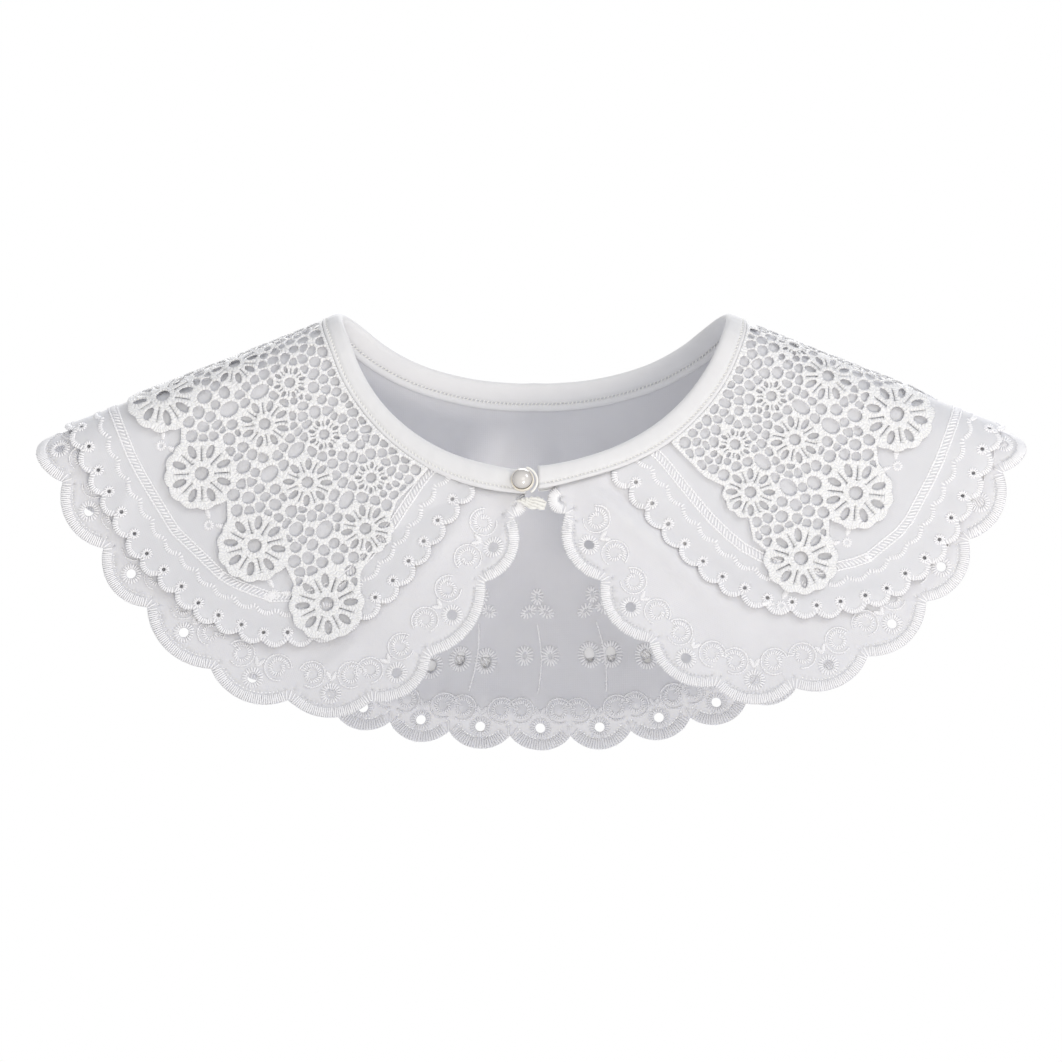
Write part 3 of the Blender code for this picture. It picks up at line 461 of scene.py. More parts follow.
def cutCloth(panel, outline, holes, step, margin, rings=None):  # flat places and triangles of a cut piece of cloth
    loops = [outline, *holes]
    border = np.vstack(loops)
    tree, _ = edgeTree(loops, min(margin * 0.5, 0.5))
    fill = lattice(panel, step)
    fill = fill[insideLoop(fill, outline)]
    fill = fill[distanceTo(tree, fill) > margin]
    fill = fill[~insideAny(fill, holes)]
    if rings is not None:
        rings = rings[insideLoop(rings, outline)]
        rings = rings[distanceTo(tree, rings) > margin * 0.35]
        fill = np.vstack((fill, rings))
    edges, first = [], 0
    for loop in loops:
        edges += [(first + i, first + (i + 1) % len(loop)) for i in range(len(loop))]
        first += len(loop)
    points = [Vector(p) for p in np.vstack((border, fill))]
    flat, _, faces, *_ = delaunay_2d_cdt(points, edges, [], 1, 1e-5)
    flat, faces = np.array([tuple(p) for p in flat]), np.array(faces)
    middle = flat[faces].mean(axis=1)
    faces = faces[insideLoop(middle, outline) & ~insideAny(middle, holes)]
    used, faces = np.unique(faces, return_inverse=True)
    return flat[used], faces.reshape(-1, 3)


# ---- neckband
neckband = {  # angle from the shoulder ridge, radius of its top and of its seam
    ("front", -1): ((0, 88.0, 96.0), (12, 91.0, 99.8), (20, 95.0, 104.0), (30, 100.0, 108.8), (40, 104.0, 113.2),
                    (50, 107.0, 117.0), (60, 109.0, 119.5), (69, 111.0, 121.0)),
    ("front", 1): ((0, 88.0, 96.0), (10, 90.8, 100.0), (20, 94.6, 104.4), (30, 98.2, 108.0), (40, 101.4, 111.2),
                   (50, 104.0, 113.2), (60, 106.4, 115.2), (69, 109.0, 118.6)),
    "back": ((0, 88.0, 96.0), (15, 82.6, 93.0), (30, 78.0, 88.4), (45, 74.0, 84.4), (60, 72.0, 82.6),
             (72, 72.0, 82.6)),
    "ends": (-3.4, 1.4),  # where its left and right front ends are, across the middle
    "endRadii": (78.0, 72.0, 82.6),  # at the centre back: for the middle of its length there, its top and its seam
    "stepRadii": (112.0, 86.0),  # for the number of steps along the front and the back
    "section": (  # share of the way from its top to its seam, and height: out over the fold and in again
        (1.03, 2.5), (1.04, 3.3), (1.0, 4.0), (0.93, 4.4), (0.87, 4.05), (0.83, 3.4), (0.78, 3.95), (0.6, 4.2),
        (0.4, 4.2), (0.2, 4.05), (0.08, 3.6), (0.0, 2.7), (-0.02, 2.0), (0.0, 1.2), (0.08, 0.4), (0.2, 0.05),
        (0.4, 0.0), (0.6, 0.0), (0.76, 0.05), (0.82, 0.45), (0.88, -0.15), (1.0, -0.5), (1.1, -0.3), (1.12, 0.1)),
    "thickness": 0.4, "step": 1.8, "pucker": 0.2, "depth": 9.0, "middle": 2.05, "endTurns": (25, 50, 72, 85),
    "stitch": {"rows": ((0.83, 3.75), (0.82, 0.1)), "pitch": 1.75, "length": 1.6, "width": 0.55, "height": 0.8,
               "slant": 0.9},
}


def bandTable(side, face):
    return neckband["back"] if face == "back" else neckband[(face, side)]


def endAngle(side, radius, x):  # angle at which a radius on the front reaches a distance from the middle plane
    low, high = math.radians(45), math.radians(80)
    for _ in range(40):
        middle = (low + high) / 2
        if abs(x) < side * drape(side, "front", [radius], [middle], 0.0)[0, 0] / mm:
            low = middle
        else:
            high = middle
    return low


def seamLine(panel, side, last, reach):  # a panel's neck seam from its ridge to an angle
    face = "back" if panel == "back" else "front"
    angle = np.linspace(0, last, max(int(last * 100 / 1.5), 8))
    radius = cubicTable(bandTable(side, face), np.degrees(angle), 2) + reach
    return flatOf(panel, side, radius, angle)


print("lace capelet: neckband tables ready")

# ---- cotton base
cotton = {
    "notches": {  # scallop notches: angle from the shoulder, radius
        "frontLeft": ((0.0, 223.5), (7.8, 227.5), (16.4, 229.0), (24.6, 232.5), (34.1, 236.5), (42.8, 231.5),
                      (51.4, 220.0), (56.8, 195.5), (62.6, 160.0), (66.6, 131.0)),
        "frontRight": ((0.0, 220.5), (7.0, 224.5), (15.5, 228.0), (23.6, 232.0), (32.4, 234.5), (40.9, 229.7),
                       (48.8, 216.0), (55.0, 190.5), (59.9, 160.5), (64.6, 130.0)),
    },
    "neckReach": 1.6, "frontDepth": 7.5, "backDepth": 7.0, "backScallops": 21, "backShift": 0.7,
    "backRise": 8.5, "riseFrom": 0.35, "riseTo": 0.75,
    "needle": 0.33, "needlePitch": 2.1, "needleInboard": 5.1, "margin": 0.9,
    "eyelet": 2.15, "eyeletInset": 3.0, "leastScallop": 20.0, "step": 2.6, "seamReach": -2.4,
    "backOvals": (  # angle from the centre back, radius, half sizes across and along
        (-12.8, 201.0, 2.2, 3.2), (-9.4, 196.0, 2.2, 3.2), (-6.1, 196.0, 2.2, 3.2),
        (7.2, 193.0, 2.2, 3.2), (9.9, 194.0, 2.2, 3.2), (14.3, 197.5, 2.2, 3.2)),
}


def frontNotches(panel, table, reach):
    notches = [flatOf(panel, sideOf[panel], radius, math.radians(angle)) for angle, radius in table]
    end = table[-1][0] + reach
    seam = float(cubicTable(bandTable(sideOf[panel], "front"), end, 2)) + 0.3
    return np.array([*notches, flatOf(panel, sideOf[panel], seam, math.radians(end))])


def backNotches(radius, count, shift=0.0, rise=0.0):
    turn = fullAngle * (1 - 2 * np.arange(count + 1) / count)
    reach = radius - rise * eased(np.abs(turn / fullAngle), cotton["riseFrom"], cotton["riseTo"])
    turn = turn + math.radians(shift) * (1 - (turn / fullAngle) ** 2)
    return np.stack((reach * np.sin(turn), reach * np.cos(turn)), axis=1)


def outlineOf(panel, edge, reach):  # neck seam, ridge, edge: closed, once round
    if panel == "back":
        last = float(centreAngle(80.0))
        right, left = seamLine(panel, 1, last, reach), seamLine(panel, -1, last, reach)
        right[-1][0] = left[-1][0] = 0.0
        seam = np.vstack((left, right[::-1][1:]))
    else:
        end = math.atan2(edge[-1][1], edge[-1][0])
        seam = seamLine(panel, sideOf[panel], end, reach)[::-1]
    ridge = evenly([seam[-1], edge[0]], 2.5)[0]
    back = evenly([edge[-1], seam[0]], 2.5)[0] if panel == "back" or math.dist(edge[-1], seam[0]) > 2.5 else []
    return np.vstack([part for part in (seam, ridge, edge, back) if len(part)])


def eyeletPlaces(notches):
    found = []
    for (x0, y0), (x1, y1) in zip(notches, notches[1:]):
        length = math.hypot(x1 - x0, y1 - y0)
        if length > cotton["leastScallop"]:
            out = (y1 - y0) / length, -(x1 - x0) / length
            inset = cotton["eyeletInset"]
            found.append(((x0 + x1) / 2 - out[0] * inset, (y0 + y1) / 2 - out[1] * inset))
    return found


def hangPiece(panel, layer, flat, faces, node):
    points = place(panel, flat, layerHeight(layer, flat))
    piece = newPiece(layer + "_" + panel, points, outwardFaces(points, faces), looks[layer], {"cloth": flat})
    thicken(piece, layers[layer]["thickness"])
    settle(piece, layer, node)
    return piece


cottonNodes = {"frontLeft": "base_front_left", "frontRight": "base_front_right", "back": "base_back"}
cottonCuts, cottonEdges, cottonEyelets, cottonNotches = {}, {}, {}, {}
for panel in cottonNodes:
    if panel == "back":
        notches = backNotches(form["hemRadius"], cotton["backScallops"], cotton["backShift"], cotton["backRise"])
        edge = scallopEdge(notches, cotton["backDepth"], 20)
    else:
        notches = frontNotches(panel, cotton["notches"][panel], cotton["neckReach"])
        edge = scallopEdge(notches, cotton["frontDepth"], 20)
    eyelets = eyeletPlaces(notches)
    holes = [ringLoop(spot, cotton["eyelet"], cotton["eyelet"], 20) for spot in eyelets]
    ovals = []
    if panel == "back":
        for turn, radius, across, along in cotton["backOvals"]:
            centre = radius * math.sin(math.radians(turn)), radius * math.cos(math.radians(turn))
            ovals.append((centre, across, along))
            holes.append(ringLoop(centre, across, along, 20))
    outline = outlineOf(panel, edge, cotton["seamReach"])
    line, ways = evenly(edge, cotton["needlePitch"], False, 2.5)
    line = line + cotton["needleInboard"] * np.stack((-np.sin(ways), np.cos(ways)), axis=1)
    for spot in line[insideLoop(line, outlineOf(panel, edge, 4.0))]:
        if min([math.dist(spot, eyelet) for eyelet in eyelets], default=99) > cotton["eyelet"] + 3.0:
            holes.append(ringLoop(spot, cotton["needle"], cotton["needle"], 6))
    cottonCuts[panel] = cutCloth(panel, outline, holes, cotton["step"], cotton["margin"])
    cottonEdges[panel], cottonEyelets[panel], cottonNotches[panel] = edge, (eyelets, ovals), notches
cottonPieces = {panel: hangPiece(panel, "cotton", *cottonCuts[panel], node) for panel, node in cottonNodes.items()}
print("lace capelet: cotton base cut and hung")

# ---- voile layer
voile = {
    "edge": {  # angle from the shoulder, radius of the scallops' notches
        "frontLeft": ((0, 213.0), (10, 216.0), (20, 220.0), (30, 221.0), (37, 215.0), (42, 205.0), (46, 192.0),
                      (49.5, 174.0), (52.5, 152.0), (55.5, 130.0), (57.5, 119.3)),
        "frontRight": ((0, 214.0), (10, 218.0), (19, 223.0), (27, 220.0), (34, 208.5), (39, 194.5), (43, 178.0),
                       (46, 160.0), (48.6, 140.0), (51.0, 124.0), (53.0, 114.2)),
    },
    "neckReach": 0.8, "backRadius": 216.0, "backRise": 2.5, "pitch": 11.0, "depth": 3.2, "step": 3.0,
    "seamReach": -1.6, "ringInboard": 3.4, "ringHole": 0.8, "margin": 0.9,
}


def notchesAlong(path, pitch):
    lengths = lengthsAlong(path)
    return placesAlong(path, lengths, np.linspace(0, lengths[-1], round(lengths[-1] / pitch) + 1))


voileNodes = {"frontLeft": "middle_front_left", "frontRight": "middle_front_right", "back": "middle_back"}
voileCuts, voileEdges, voileRings, voileLines, voilePieces = {}, {}, {}, {}, {}
for panel, node in voileNodes.items():
    if panel == "back":
        count = round(2 * fullAngle * voile["backRadius"] / voile["pitch"])
        notches = backNotches(voile["backRadius"], count, 0.0, voile["backRise"])
    else:
        notches = notchesAlong(frontNotches(panel, voile["edge"][panel], voile["neckReach"]), voile["pitch"])
    voileLines[panel] = notches
    voileEdges[panel] = scallopEdge(notches, voile["depth"], 10)
    outline = outlineOf(panel, voileEdges[panel], voile["seamReach"])
    inner = shifted(notches, voile["ringInboard"])[1:-1]
    voileRings[panel] = inner[insideLoop(inner, outlineOf(panel, voileEdges[panel], 3.0))]
    holes = [ringLoop(spot, voile["ringHole"], voile["ringHole"], 10) for spot in voileRings[panel]]
    holes = [hole for hole in holes if insideLoop(hole, outline).all()]
    voileCuts[panel] = cutCloth(panel, outline, holes, voile["step"], voile["margin"])
    voilePieces[panel] = hangPiece(panel, "voile", *voileCuts[panel], node)
print("lace capelet: voile layer cut and hung")

# ---- guipure lace
guipure = {
    "columns": {  # centres of the large daisies: angle from the shoulder, radius
        "frontLeft": ((4.4, 172.5), (17.0, 176.5), (29.6, 183.0), (42.0, 188.0)),
        "frontRight": ((7.5, 173.0), (20.1, 178.5), (32.0, 184.0))},
    "backColumns": 11, "backRadius": 176.0, "lastAngle": {"frontLeft": 48.2, "frontRight": 39.6},
    "hollow": {"frontLeft": 6.8, "frontRight": 12.0}, "outerDaisy": 16.3, "innerDaisy": 12.3, "innerShare": 0.805,
    "petals": 12, "petalDepth": 1.1, "arc": 95.0, "frontArc": 140.0, "notchShare": 0.985,
    "gaps": (  # open places of a column: share of the pitch, share of the radius, half sizes across and along
        (0.53, 0.962, 3.1, 5.0), (0.55, 0.862, 3.2, 4.3), (0.26, 0.904, 2.8, 3.3), (0.74, 0.874, 2.2, 2.4),
        (0.87, 0.898, 2.8, 2.5), (0.58, 0.776, 2.7, 4.3), (0.41, 0.888, 2.0, 2.0), (0.28, 0.655, 2.0, 2.0),
        (0.0, 0.715, 1.6, 1.6), (0.1, 0.68, 1.6, 1.3)),
    "daisies": (  # place, size, petals, centre hole, slots and slits (distance, half sizes across and along), turn
        (0.0, 1.0, 14.6, 8, 3.0, (10.3, 1.55, 3.1), (8.9, 0.24, 3.6), 8.0),
        (0.0, 0.805, 11.4, 8, 2.5, (8.1, 1.3, 2.5), (7.1, 0.2, 2.7), 14.0),
        (0.72, 0.70, 7.6, 8, 2.2, (5.6, 0.75, 1.4), (4.9, 0.15, 1.2), 5.0)),
    "leastBar": 1.0, "step": 1.35, "backStep": 1.7, "rimPitch": 0.9, "edgeRing": 0.38, "margin": 0.85,
    "cordReach": 1.2, "puff": 0.8, "dip": 0.42, "wall": 0.35, "lift": 0.35, "seed": 11,
    "netGrid": 0.8, "netBar": 1.05, "rimBar": 1.5, "leastHole": 0.7, "netHole": (0.95, 1.5),
    "netReach": (100.0, 170.0), "netSlack": 0.95, "netSides": 13, "netLongest": 2.9, "netLeast": 0.45,
}


def petalArc(centre, radius, first, last):
    out = math.atan2(centre[1], centre[0])
    step = 2 * math.pi / guipure["petals"] / 8
    turns = np.arange(math.ceil(math.radians(first) / step), math.floor(math.radians(last) / step) + 1) * step
    bulge = np.abs(np.cos(turns * guipure["petals"] / 2))
    reach = radius - guipure["petalDepth"] * (1 - bulge)
    return np.stack((centre[0] + reach * np.cos(out + turns), centre[1] + reach * np.sin(out + turns)), axis=1)


def laceFrontEdge(panel):
    side = sideOf[panel]
    columns = [(math.radians(a), r) for a, r in guipure["columns"][panel]]
    hollow = guipure["hollow"][panel]
    parts = [[(columns[0][1] * guipure["notchShare"], 0.0)]]
    for angle, radius in columns[:-1]:
        centre = flatOf(panel, side, radius, angle)
        parts.append(petalArc(centre, guipure["outerDaisy"], -guipure["arc"], guipure["arc"]))
    angle, radius = columns[-1]
    innerRadius = radius * guipure["innerShare"]
    outer, inner = flatOf(panel, side, radius, angle), flatOf(panel, side, innerRadius, angle)
    parts.append(petalArc(outer, guipure["outerDaisy"], -guipure["arc"], guipure["frontArc"]))
    between = (radius + innerRadius) / 2
    parts.append([flatOf(panel, side, between, angle + hollow / between)])
    parts.append(petalArc(inner, guipure["innerDaisy"], 180 - guipure["frontArc"], guipure["frontArc"]))
    below = innerRadius - guipure["innerDaisy"] - 4.0
    parts.append([flatOf(panel, side, below, angle + hollow / below)])
    last = math.radians(guipure["lastAngle"][panel])
    seam = float(cubicTable(bandTable(side, "front"), math.degrees(last), 2)) + 0.3
    parts.append([flatOf(panel, side, seam, last)])
    edge = np.vstack(parts)
    crossing = np.flatnonzero(edge[:, 1] < 1e-6).max()
    return np.vstack(([(max(edge[crossing][0], edge[0][0]), 0.0)], edge[crossing + 1:]))


def laceBackEdge():
    pitch = 2 * fullAngle / guipure["backColumns"]
    ends = backNotches(guipure["backRadius"] * guipure["notchShare"], 1)
    parts = [ends[:1]]
    for i in range(guipure["backColumns"]):
        turn = fullAngle - (i + 0.5) * pitch
        centre = guipure["backRadius"] * math.sin(turn), guipure["backRadius"] * math.cos(turn)
        parts.append(petalArc(centre, guipure["outerDaisy"], -guipure["arc"], guipure["arc"]))
    return np.vstack((*parts, ends[1:]))


def netHoles(panel, outline, holes, discs):  # places for the net's small holes, the largest first
    dice = np.random.default_rng(guipure["seed"] + len(panel))
    low, high = outline.min(axis=0), outline.max(axis=0)
    axes = [np.arange(low[i], high[i], guipure["netGrid"]) for i in (0, 1)]
    grid = np.stack(np.meshgrid(*axes), axis=-1).reshape(-1, 2)
    grid = grid + dice.uniform(-0.3, 0.3, grid.shape)
    grid = grid[insideLoop(grid, outline)]
    grid = grid[~insideAny(grid, holes)]
    for x, y, reach in discs:
        grid = grid[np.hypot(grid[:, 0] - x, grid[:, 1] - y) > reach]
    holeTree, rimTree = edgeTree(holes, 0.3)[0], edgeTree([outline], 0.5)[0]
    rim = distanceTo(rimTree, grid)
    room = np.minimum(distanceTo(holeTree, grid), rim)
    room = np.where(rim < guipure["rimBar"] + guipure["leastHole"], 0.0, room)
    found = []
    while True:
        best = int(np.argmax(room))
        x, y = grid[best]
        share = eased(np.hypot(x, y), *guipure["netReach"])
        largest = guipure["netHole"][0] + (guipure["netHole"][1] - guipure["netHole"][0]) * share
        size = min(room[best] - guipure["netBar"], rim[best] - guipure["rimBar"], largest * dice.uniform(0.55, 1.1))
        if room[best] < guipure["netBar"] + guipure["leastHole"]:
            break
        if size > guipure["leastHole"] * 0.8:
            found.append((x, y, size))
        size = max(size, 0.3) + guipure["netSlack"]
        near = np.flatnonzero(np.abs(grid[:, 1] - y) < 12.0)
        room[near] = np.minimum(room[near], np.hypot(grid[near, 0] - x, grid[near, 1] - y) - size)
    return netCells(np.array(found), discs, holeTree, rimTree, dice)


def netCells(cells, discs, holeTree, rimTree, dice):  # each hole grown to an uneven cell, an even cord from the next
    ways = heading(2 * math.pi * np.arange(guipure["netSides"]) / guipure["netSides"]).T
    discs = np.array(discs)
    loops = []
    for x, y, size in cells:
        offset = cells[:, :2] - (x, y)
        away = np.hypot(*offset.T)
        near = (away > 0) & (away < 9.0)
        toward = offset[near] @ ways
        half = (away[near] ** 2 + size ** 2 - cells[near, 2] ** 2) / 2
        reach = np.where(toward > 1e-6, half[:, None] / np.maximum(toward, 1e-6), 9.0).min(axis=0, initial=9.0)
        reach = np.minimum(reach - guipure["netBar"] / 2, guipure["netLongest"] * dice.uniform(0.85, 1.0))
        for i, (cos, sin) in enumerate(ways.T):
            while reach[i] > 0.2:
                u, v = x + reach[i] * cos, y + reach[i] * sin
                clear = np.hypot(discs[:, 0] - u, discs[:, 1] - v) > discs[:, 2] - 0.3
                if (clear.all() and holeTree.find((u, v, 0))[2] > guipure["netBar"]
                        and rimTree.find((u, v, 0))[2] > guipure["rimBar"]):
                    break
                reach[i] -= 0.2
        reach = 0.25 * np.roll(reach, 1) + 0.5 * reach + 0.25 * np.roll(reach, -1)
        if reach.min() > guipure["netLeast"]:
            loops.append(np.array((x, y)) + (reach * ways).T)
    return loops


def daisyHoles(centre, petals, hole, slot, slit, turned):  # a hole, open slots round it, and thin slits between
    out = math.atan2(centre[1], centre[0]) + math.radians(turned)
    loops = [ovalLoop(centre, hole, hole, 0.0, 24)]
    for i in range(petals):
        for (distance, across, along), turn in ((slot, 0.5), (slit, 0.0)):
            way = out + 2 * math.pi * (i + turn) / petals
            spot = centre[0] + distance * math.cos(way), centre[1] + distance * math.sin(way)
            loops.append(ovalLoop(spot, across, along, way, 14 if across > 0.4 else 8))
    return loops


def threadPlaces(loops, flat, faces):  # for every corner: how far along the nearest edge and how far from it
    tree, samples = edgeTree(loops, 0.25)
    near = [tree.find((x, y, 0)) for x, y in flat.tolist()]
    nearest = np.array([n[1] for n in near])
    away = np.array([n[2] for n in near])
    owner, length = samples[nearest, 2], samples[nearest, 3]
    middle = flat[faces].mean(axis=1)
    centre = np.array([tree.find((x, y, 0))[1] for x, y in middle.tolist()])
    way = samples[centre, 4][:, None]
    offset = flat[faces] - samples[centre, None, :2]
    along = samples[centre, 3][:, None] + offset[..., 0] * np.cos(way) + offset[..., 1] * np.sin(way)
    same = (owner[faces] == samples[centre, 2][:, None]).all(axis=1)
    same &= np.abs(length[faces] - samples[centre, 3][:, None]).max(axis=1) < 3.0
    along = np.where(same[:, None], length[faces], along)
    return np.stack((along, away[faces]), axis=-1).reshape(-1, 2), away


def spotOf(panel, angle, radius):
    if panel == "back":
        return radius * math.sin(angle), radius * math.cos(angle)
    return tuple(flatOf(panel, sideOf[panel], radius, angle))


def laceRows(panel):
    if panel == "back":
        pitch = 2 * fullAngle / guipure["backColumns"]
        return [(fullAngle - (i + 0.5) * pitch, guipure["backRadius"]) for i in range(-1, guipure["backColumns"] + 2)]
    columns = [(math.radians(a), r) for a, r in guipure["columns"][panel]]
    before = 2 * columns[0][0] - columns[1][0], 2 * columns[0][1] - columns[1][1]
    after = 2 * columns[-1][0] - columns[-2][0], 2 * columns[-1][1] - columns[-2][1]
    return [before, *columns, after]


def laceHoles(panel, outline):
    rim = evenly(outline, 0.8, True)[0]
    holes, discs, plain = [], [], []
    rows = laceRows(panel)
    for (angle, radius), (nextAngle, nextRadius) in zip(rows, rows[1:]):
        for pitchShare, share, *motif in (*guipure["daisies"], *guipure["gaps"]):
            turn = angle + (nextAngle - angle) * pitchShare
            reach = (radius + (nextRadius - radius) * pitchShare) * share
            centre = spotOf(panel, turn, reach)
            room = np.hypot(*(rim - np.array(centre)).T).min()
            if not insideLoop(np.array([centre]), outline)[0]:
                continue
            if len(motif) > 2:
                size, petals, hole, slot, slit, turned = motif
                if room < hole + guipure["leastBar"]:
                    continue
                for loop in daisyHoles(centre, petals, hole, slot, slit, turned):
                    gap = np.hypot(rim[:, None, 0] - loop[None, :, 0], rim[:, None, 1] - loop[None, :, 1]).min()
                    if insideLoop(loop, outline).all() and gap > guipure["leastBar"]:
                        holes.append(loop)
                discs.append((*centre, size))
            elif room > max(motif) + guipure["leastBar"]:
                plain.append(ringLoop(centre, *motif, 20))
    holes += [loop for loop in plain if insideLoop(loop, outline).all()]
    return holes + netHoles(panel, outline, holes, discs)


laceNodes = {"frontLeft": "lace_front_left", "frontRight": "lace_front_right", "back": "lace_back"}


def addLace(panel, node):
    edge = laceBackEdge() if panel == "back" else laceFrontEdge(panel)
    outline = outlineOf(panel, edge, 0.3)
    outline = evenly(outline, guipure["rimPitch"], True)[0]
    holes = laceHoles(panel, outline)
    offset = guipure["edgeRing"]
    rings = [shifted(outline, offset)]
    for hole in holes:
        middle = hole.mean(axis=0)
        rings.append(middle + (hole - middle) * (1 + offset / np.hypot(*(hole - middle).T))[:, None])
    step = guipure["backStep"] if panel == "back" else guipure["step"]
    flat, faces = cutCloth(panel, outline, holes, step, guipure["margin"], np.vstack(rings))
    corners, away = threadPlaces([outline, *holes], flat, faces)
    rise = np.sqrt(1 - (1 - np.minimum(away / offset, 1.0)) ** 2)
    puff = rise - guipure["dip"] * eased(away, offset, guipure["cordReach"])  # a raised cord along every edge
    height = layerHeight("guipure", flat) + guipure["lift"] + puff * guipure["puff"]
    points = place(panel, flat, height)
    turned = outwardFaces(points, faces)
    if turned is not faces:
        corners = corners.reshape(-1, 3, 2)[:, ::-1].reshape(-1, 2)
    piece = newPiece("guipure_" + panel, points, turned, looks["guipure"], {"cloth": flat, "thread": corners})
    thicken(piece, guipure["wall"], -1.0)
    settle(piece, "guipure", node)
    return piece, (flat, faces)


lacePieces, laceCuts = {}, {}
for panel, node in laceNodes.items():
    lacePieces[panel], laceCuts[panel] = addLace(panel, node)
print("lace capelet: guipure lace cut and hung")

# ---- stitches: one low form, copied along each line of embroidery and bent with the cloth
stitching = {  # in mm; an oval is its half sizes across and along and its stitches' length
    "rings": 3, "segments": 5, "wander": 0.06, "sway": 0.05, "seed": 5,
    "hem": {"length": 4.8, "over": 0.25, "pitch": 0.98, "width": 0.8, "height": 1.6},
    "eyelet": {"count": 20, "inner": 2.1, "outer": 4.8, "width": 0.78, "height": 1.9},
    "backHem": {"length": 5.4, "over": 0.25, "pitch": 1.3, "width": 0.82, "height": 2.2},
    "leaf": {"pitch": 0.75, "width": 0.8, "height": 1.9},
    "oval": {"pitch": 1.15, "width": 0.85, "height": 2.2},
    "hemLeaf": {"inboard": 8.5, "turn": 0.5, "length": 4.2, "width": 2.0},
    "openOval": {"clear": 0.1, "length": 2.9},
    "scroll": {"outer": 5.9, "sweep": 285, "start": 1.9, "leastScallop": 18.0,
               "stem": 1.5, "stemPitch": 1.25, "band": (4.5, 2.2), "turn": 400, "length": 2.1, "pitch": 1.0,
               "width": 0.72, "height": 2.1, "inboard": 11.0, "apart": 8.4},
    "voileHem": {"length": 2.7, "over": 0.25, "pitch": 1.15, "width": 0.8, "height": 1.4},
    "voileRing": {"count": 12, "inner": 0.8, "outer": 2.6, "width": 0.8, "height": 1.7},
    "voileWave": {"inboard": 12.0, "depth": 2.4, "length": 2.3, "pitch": 1.2, "width": 0.8, "height": 1.5},
    "voileBraid": {"inboard": 18.8, "rail": 1.8, "railLength": 1.5, "bar": 3.4, "pitch": 1.7, "width": 0.78,
                   "height": 1.6},
    "sprig": {"radius": 1.052, "ring": (0.8, 2.4), "leaf": 5.4, "leafWidth": 2.5, "spread": 0.75},
    "backFlower": {"pitch": 8.2, "middle": 0.45, "radius": 193.0, "apart": 1.65, "oval": (0.7, 1.4, 3.6),
                   "clear": 8.0, "rise": 22.0, "lobe": 4.4, "lobeTurns": (-2.1, 0.0, 2.1),
                   "lobeOval": (0.4, 1.3, 2.7), "stem": (8.0, 17.0), "stemSteps": 24, "bow": 1.6,
                   "stitch": (1.7, 0.75, 2.1), "stitchPitch": 1.4},
}
stitchDice = np.random.default_rng(stitching["seed"])


def stitchForm():  # a rounded grain of thread, one mm long, wide and high
    bpy.ops.object.select_all(action="DESELECT")
    bpy.ops.mesh.primitive_uv_sphere_add(segments=stitching["segments"], ring_count=stitching["rings"], radius=0.5,
                                         rotation=(0, math.radians(90), 0))
    bpy.ops.object.transform_apply(rotation=True)
    grain = bpy.context.object
    bpy.ops.object.mode_set(mode="EDIT")
    bpy.ops.mesh.quads_convert_to_tris()
    bpy.ops.mesh.select_all(action="DESELECT")
    bpy.ops.object.mode_set(mode="OBJECT")
    for vertex in grain.data.vertices:
        vertex.select = abs(vertex.co.x) < 0.45
    bpy.ops.object.mode_set(mode="EDIT")
    bpy.ops.transform.resize(value=(1.45, 1.15, 1.15), center_override=(0, 0, 0))
    bpy.ops.object.mode_set(mode="OBJECT")
    points = np.array([tuple(v.co) for v in grain.data.vertices])
    faces = np.array([tuple(p.vertices) for p in grain.data.polygons])
    bpy.data.objects.remove(grain)
    return points, faces


grainPoints, grainFaces = stitchForm()


def stitchRow(places, ways, length, width, height):
    count = len(places)
    columns = [np.broadcast_to(value, count) for value in (ways, length, width, height)]
    row = np.column_stack((places, *columns)).astype(float)
    row[:, 2] += stitchDice.normal(0, stitching["sway"], count)
    row[:, 3] *= 1 + stitchDice.normal(0, stitching["wander"], count)
    row[:, 4] *= 1 + stitchDice.normal(0, stitching["wander"], count)
    return row


def grainCopies(count):
    return (grainFaces[None] + len(grainPoints) * np.arange(count)[:, None, None]).reshape(-1, 3)


def sew(panel, layer, rows, outline):  # one piece of the stitches whose middles lie on the cloth
    rows = np.vstack(rows)
    rows = rows[insideLoop(rows[:, :2], outline)]
    u, v, way, length, width, height = (column[:, None] for column in rows.T)
    a, b, c = grainPoints[:, 0] * length, grainPoints[:, 1] * width, grainPoints[:, 2] * height
    cos, sin = np.cos(way), np.sin(way)
    flat = np.stack((u + a * cos - b * sin, v + a * sin + b * cos), axis=-1).reshape(-1, 2)
    points = place(panel, flat, layerHeight(layer, flat) + c.ravel() + layers[layer]["lift"])
    faces = closedFaces(points, grainCopies(len(rows)))
    piece = newPiece(layer + "_embroidery_" + panel, points, faces, looks["stitching"])
    settle(piece, "thread")
    return piece


def edgeStitches(path, setting):  # square to an edge, from just over it inward
    places, ways = evenly(path, setting["pitch"], False, 1.8)
    inward = ways + math.pi / 2
    places = places + (setting["length"] / 2 - setting["over"]) * heading(inward)
    return stitchRow(places, inward, setting["length"], setting["width"], setting["height"])


def ringStitches(centre, setting):
    count = setting["count"]
    turns = 2 * math.pi * np.arange(count) / count
    inner, outer = setting["inner"], setting["outer"]
    places = np.array(centre) + (inner + outer) / 2 * heading(turns)
    return stitchRow(places, turns, outer - inner, setting["width"], setting["height"])


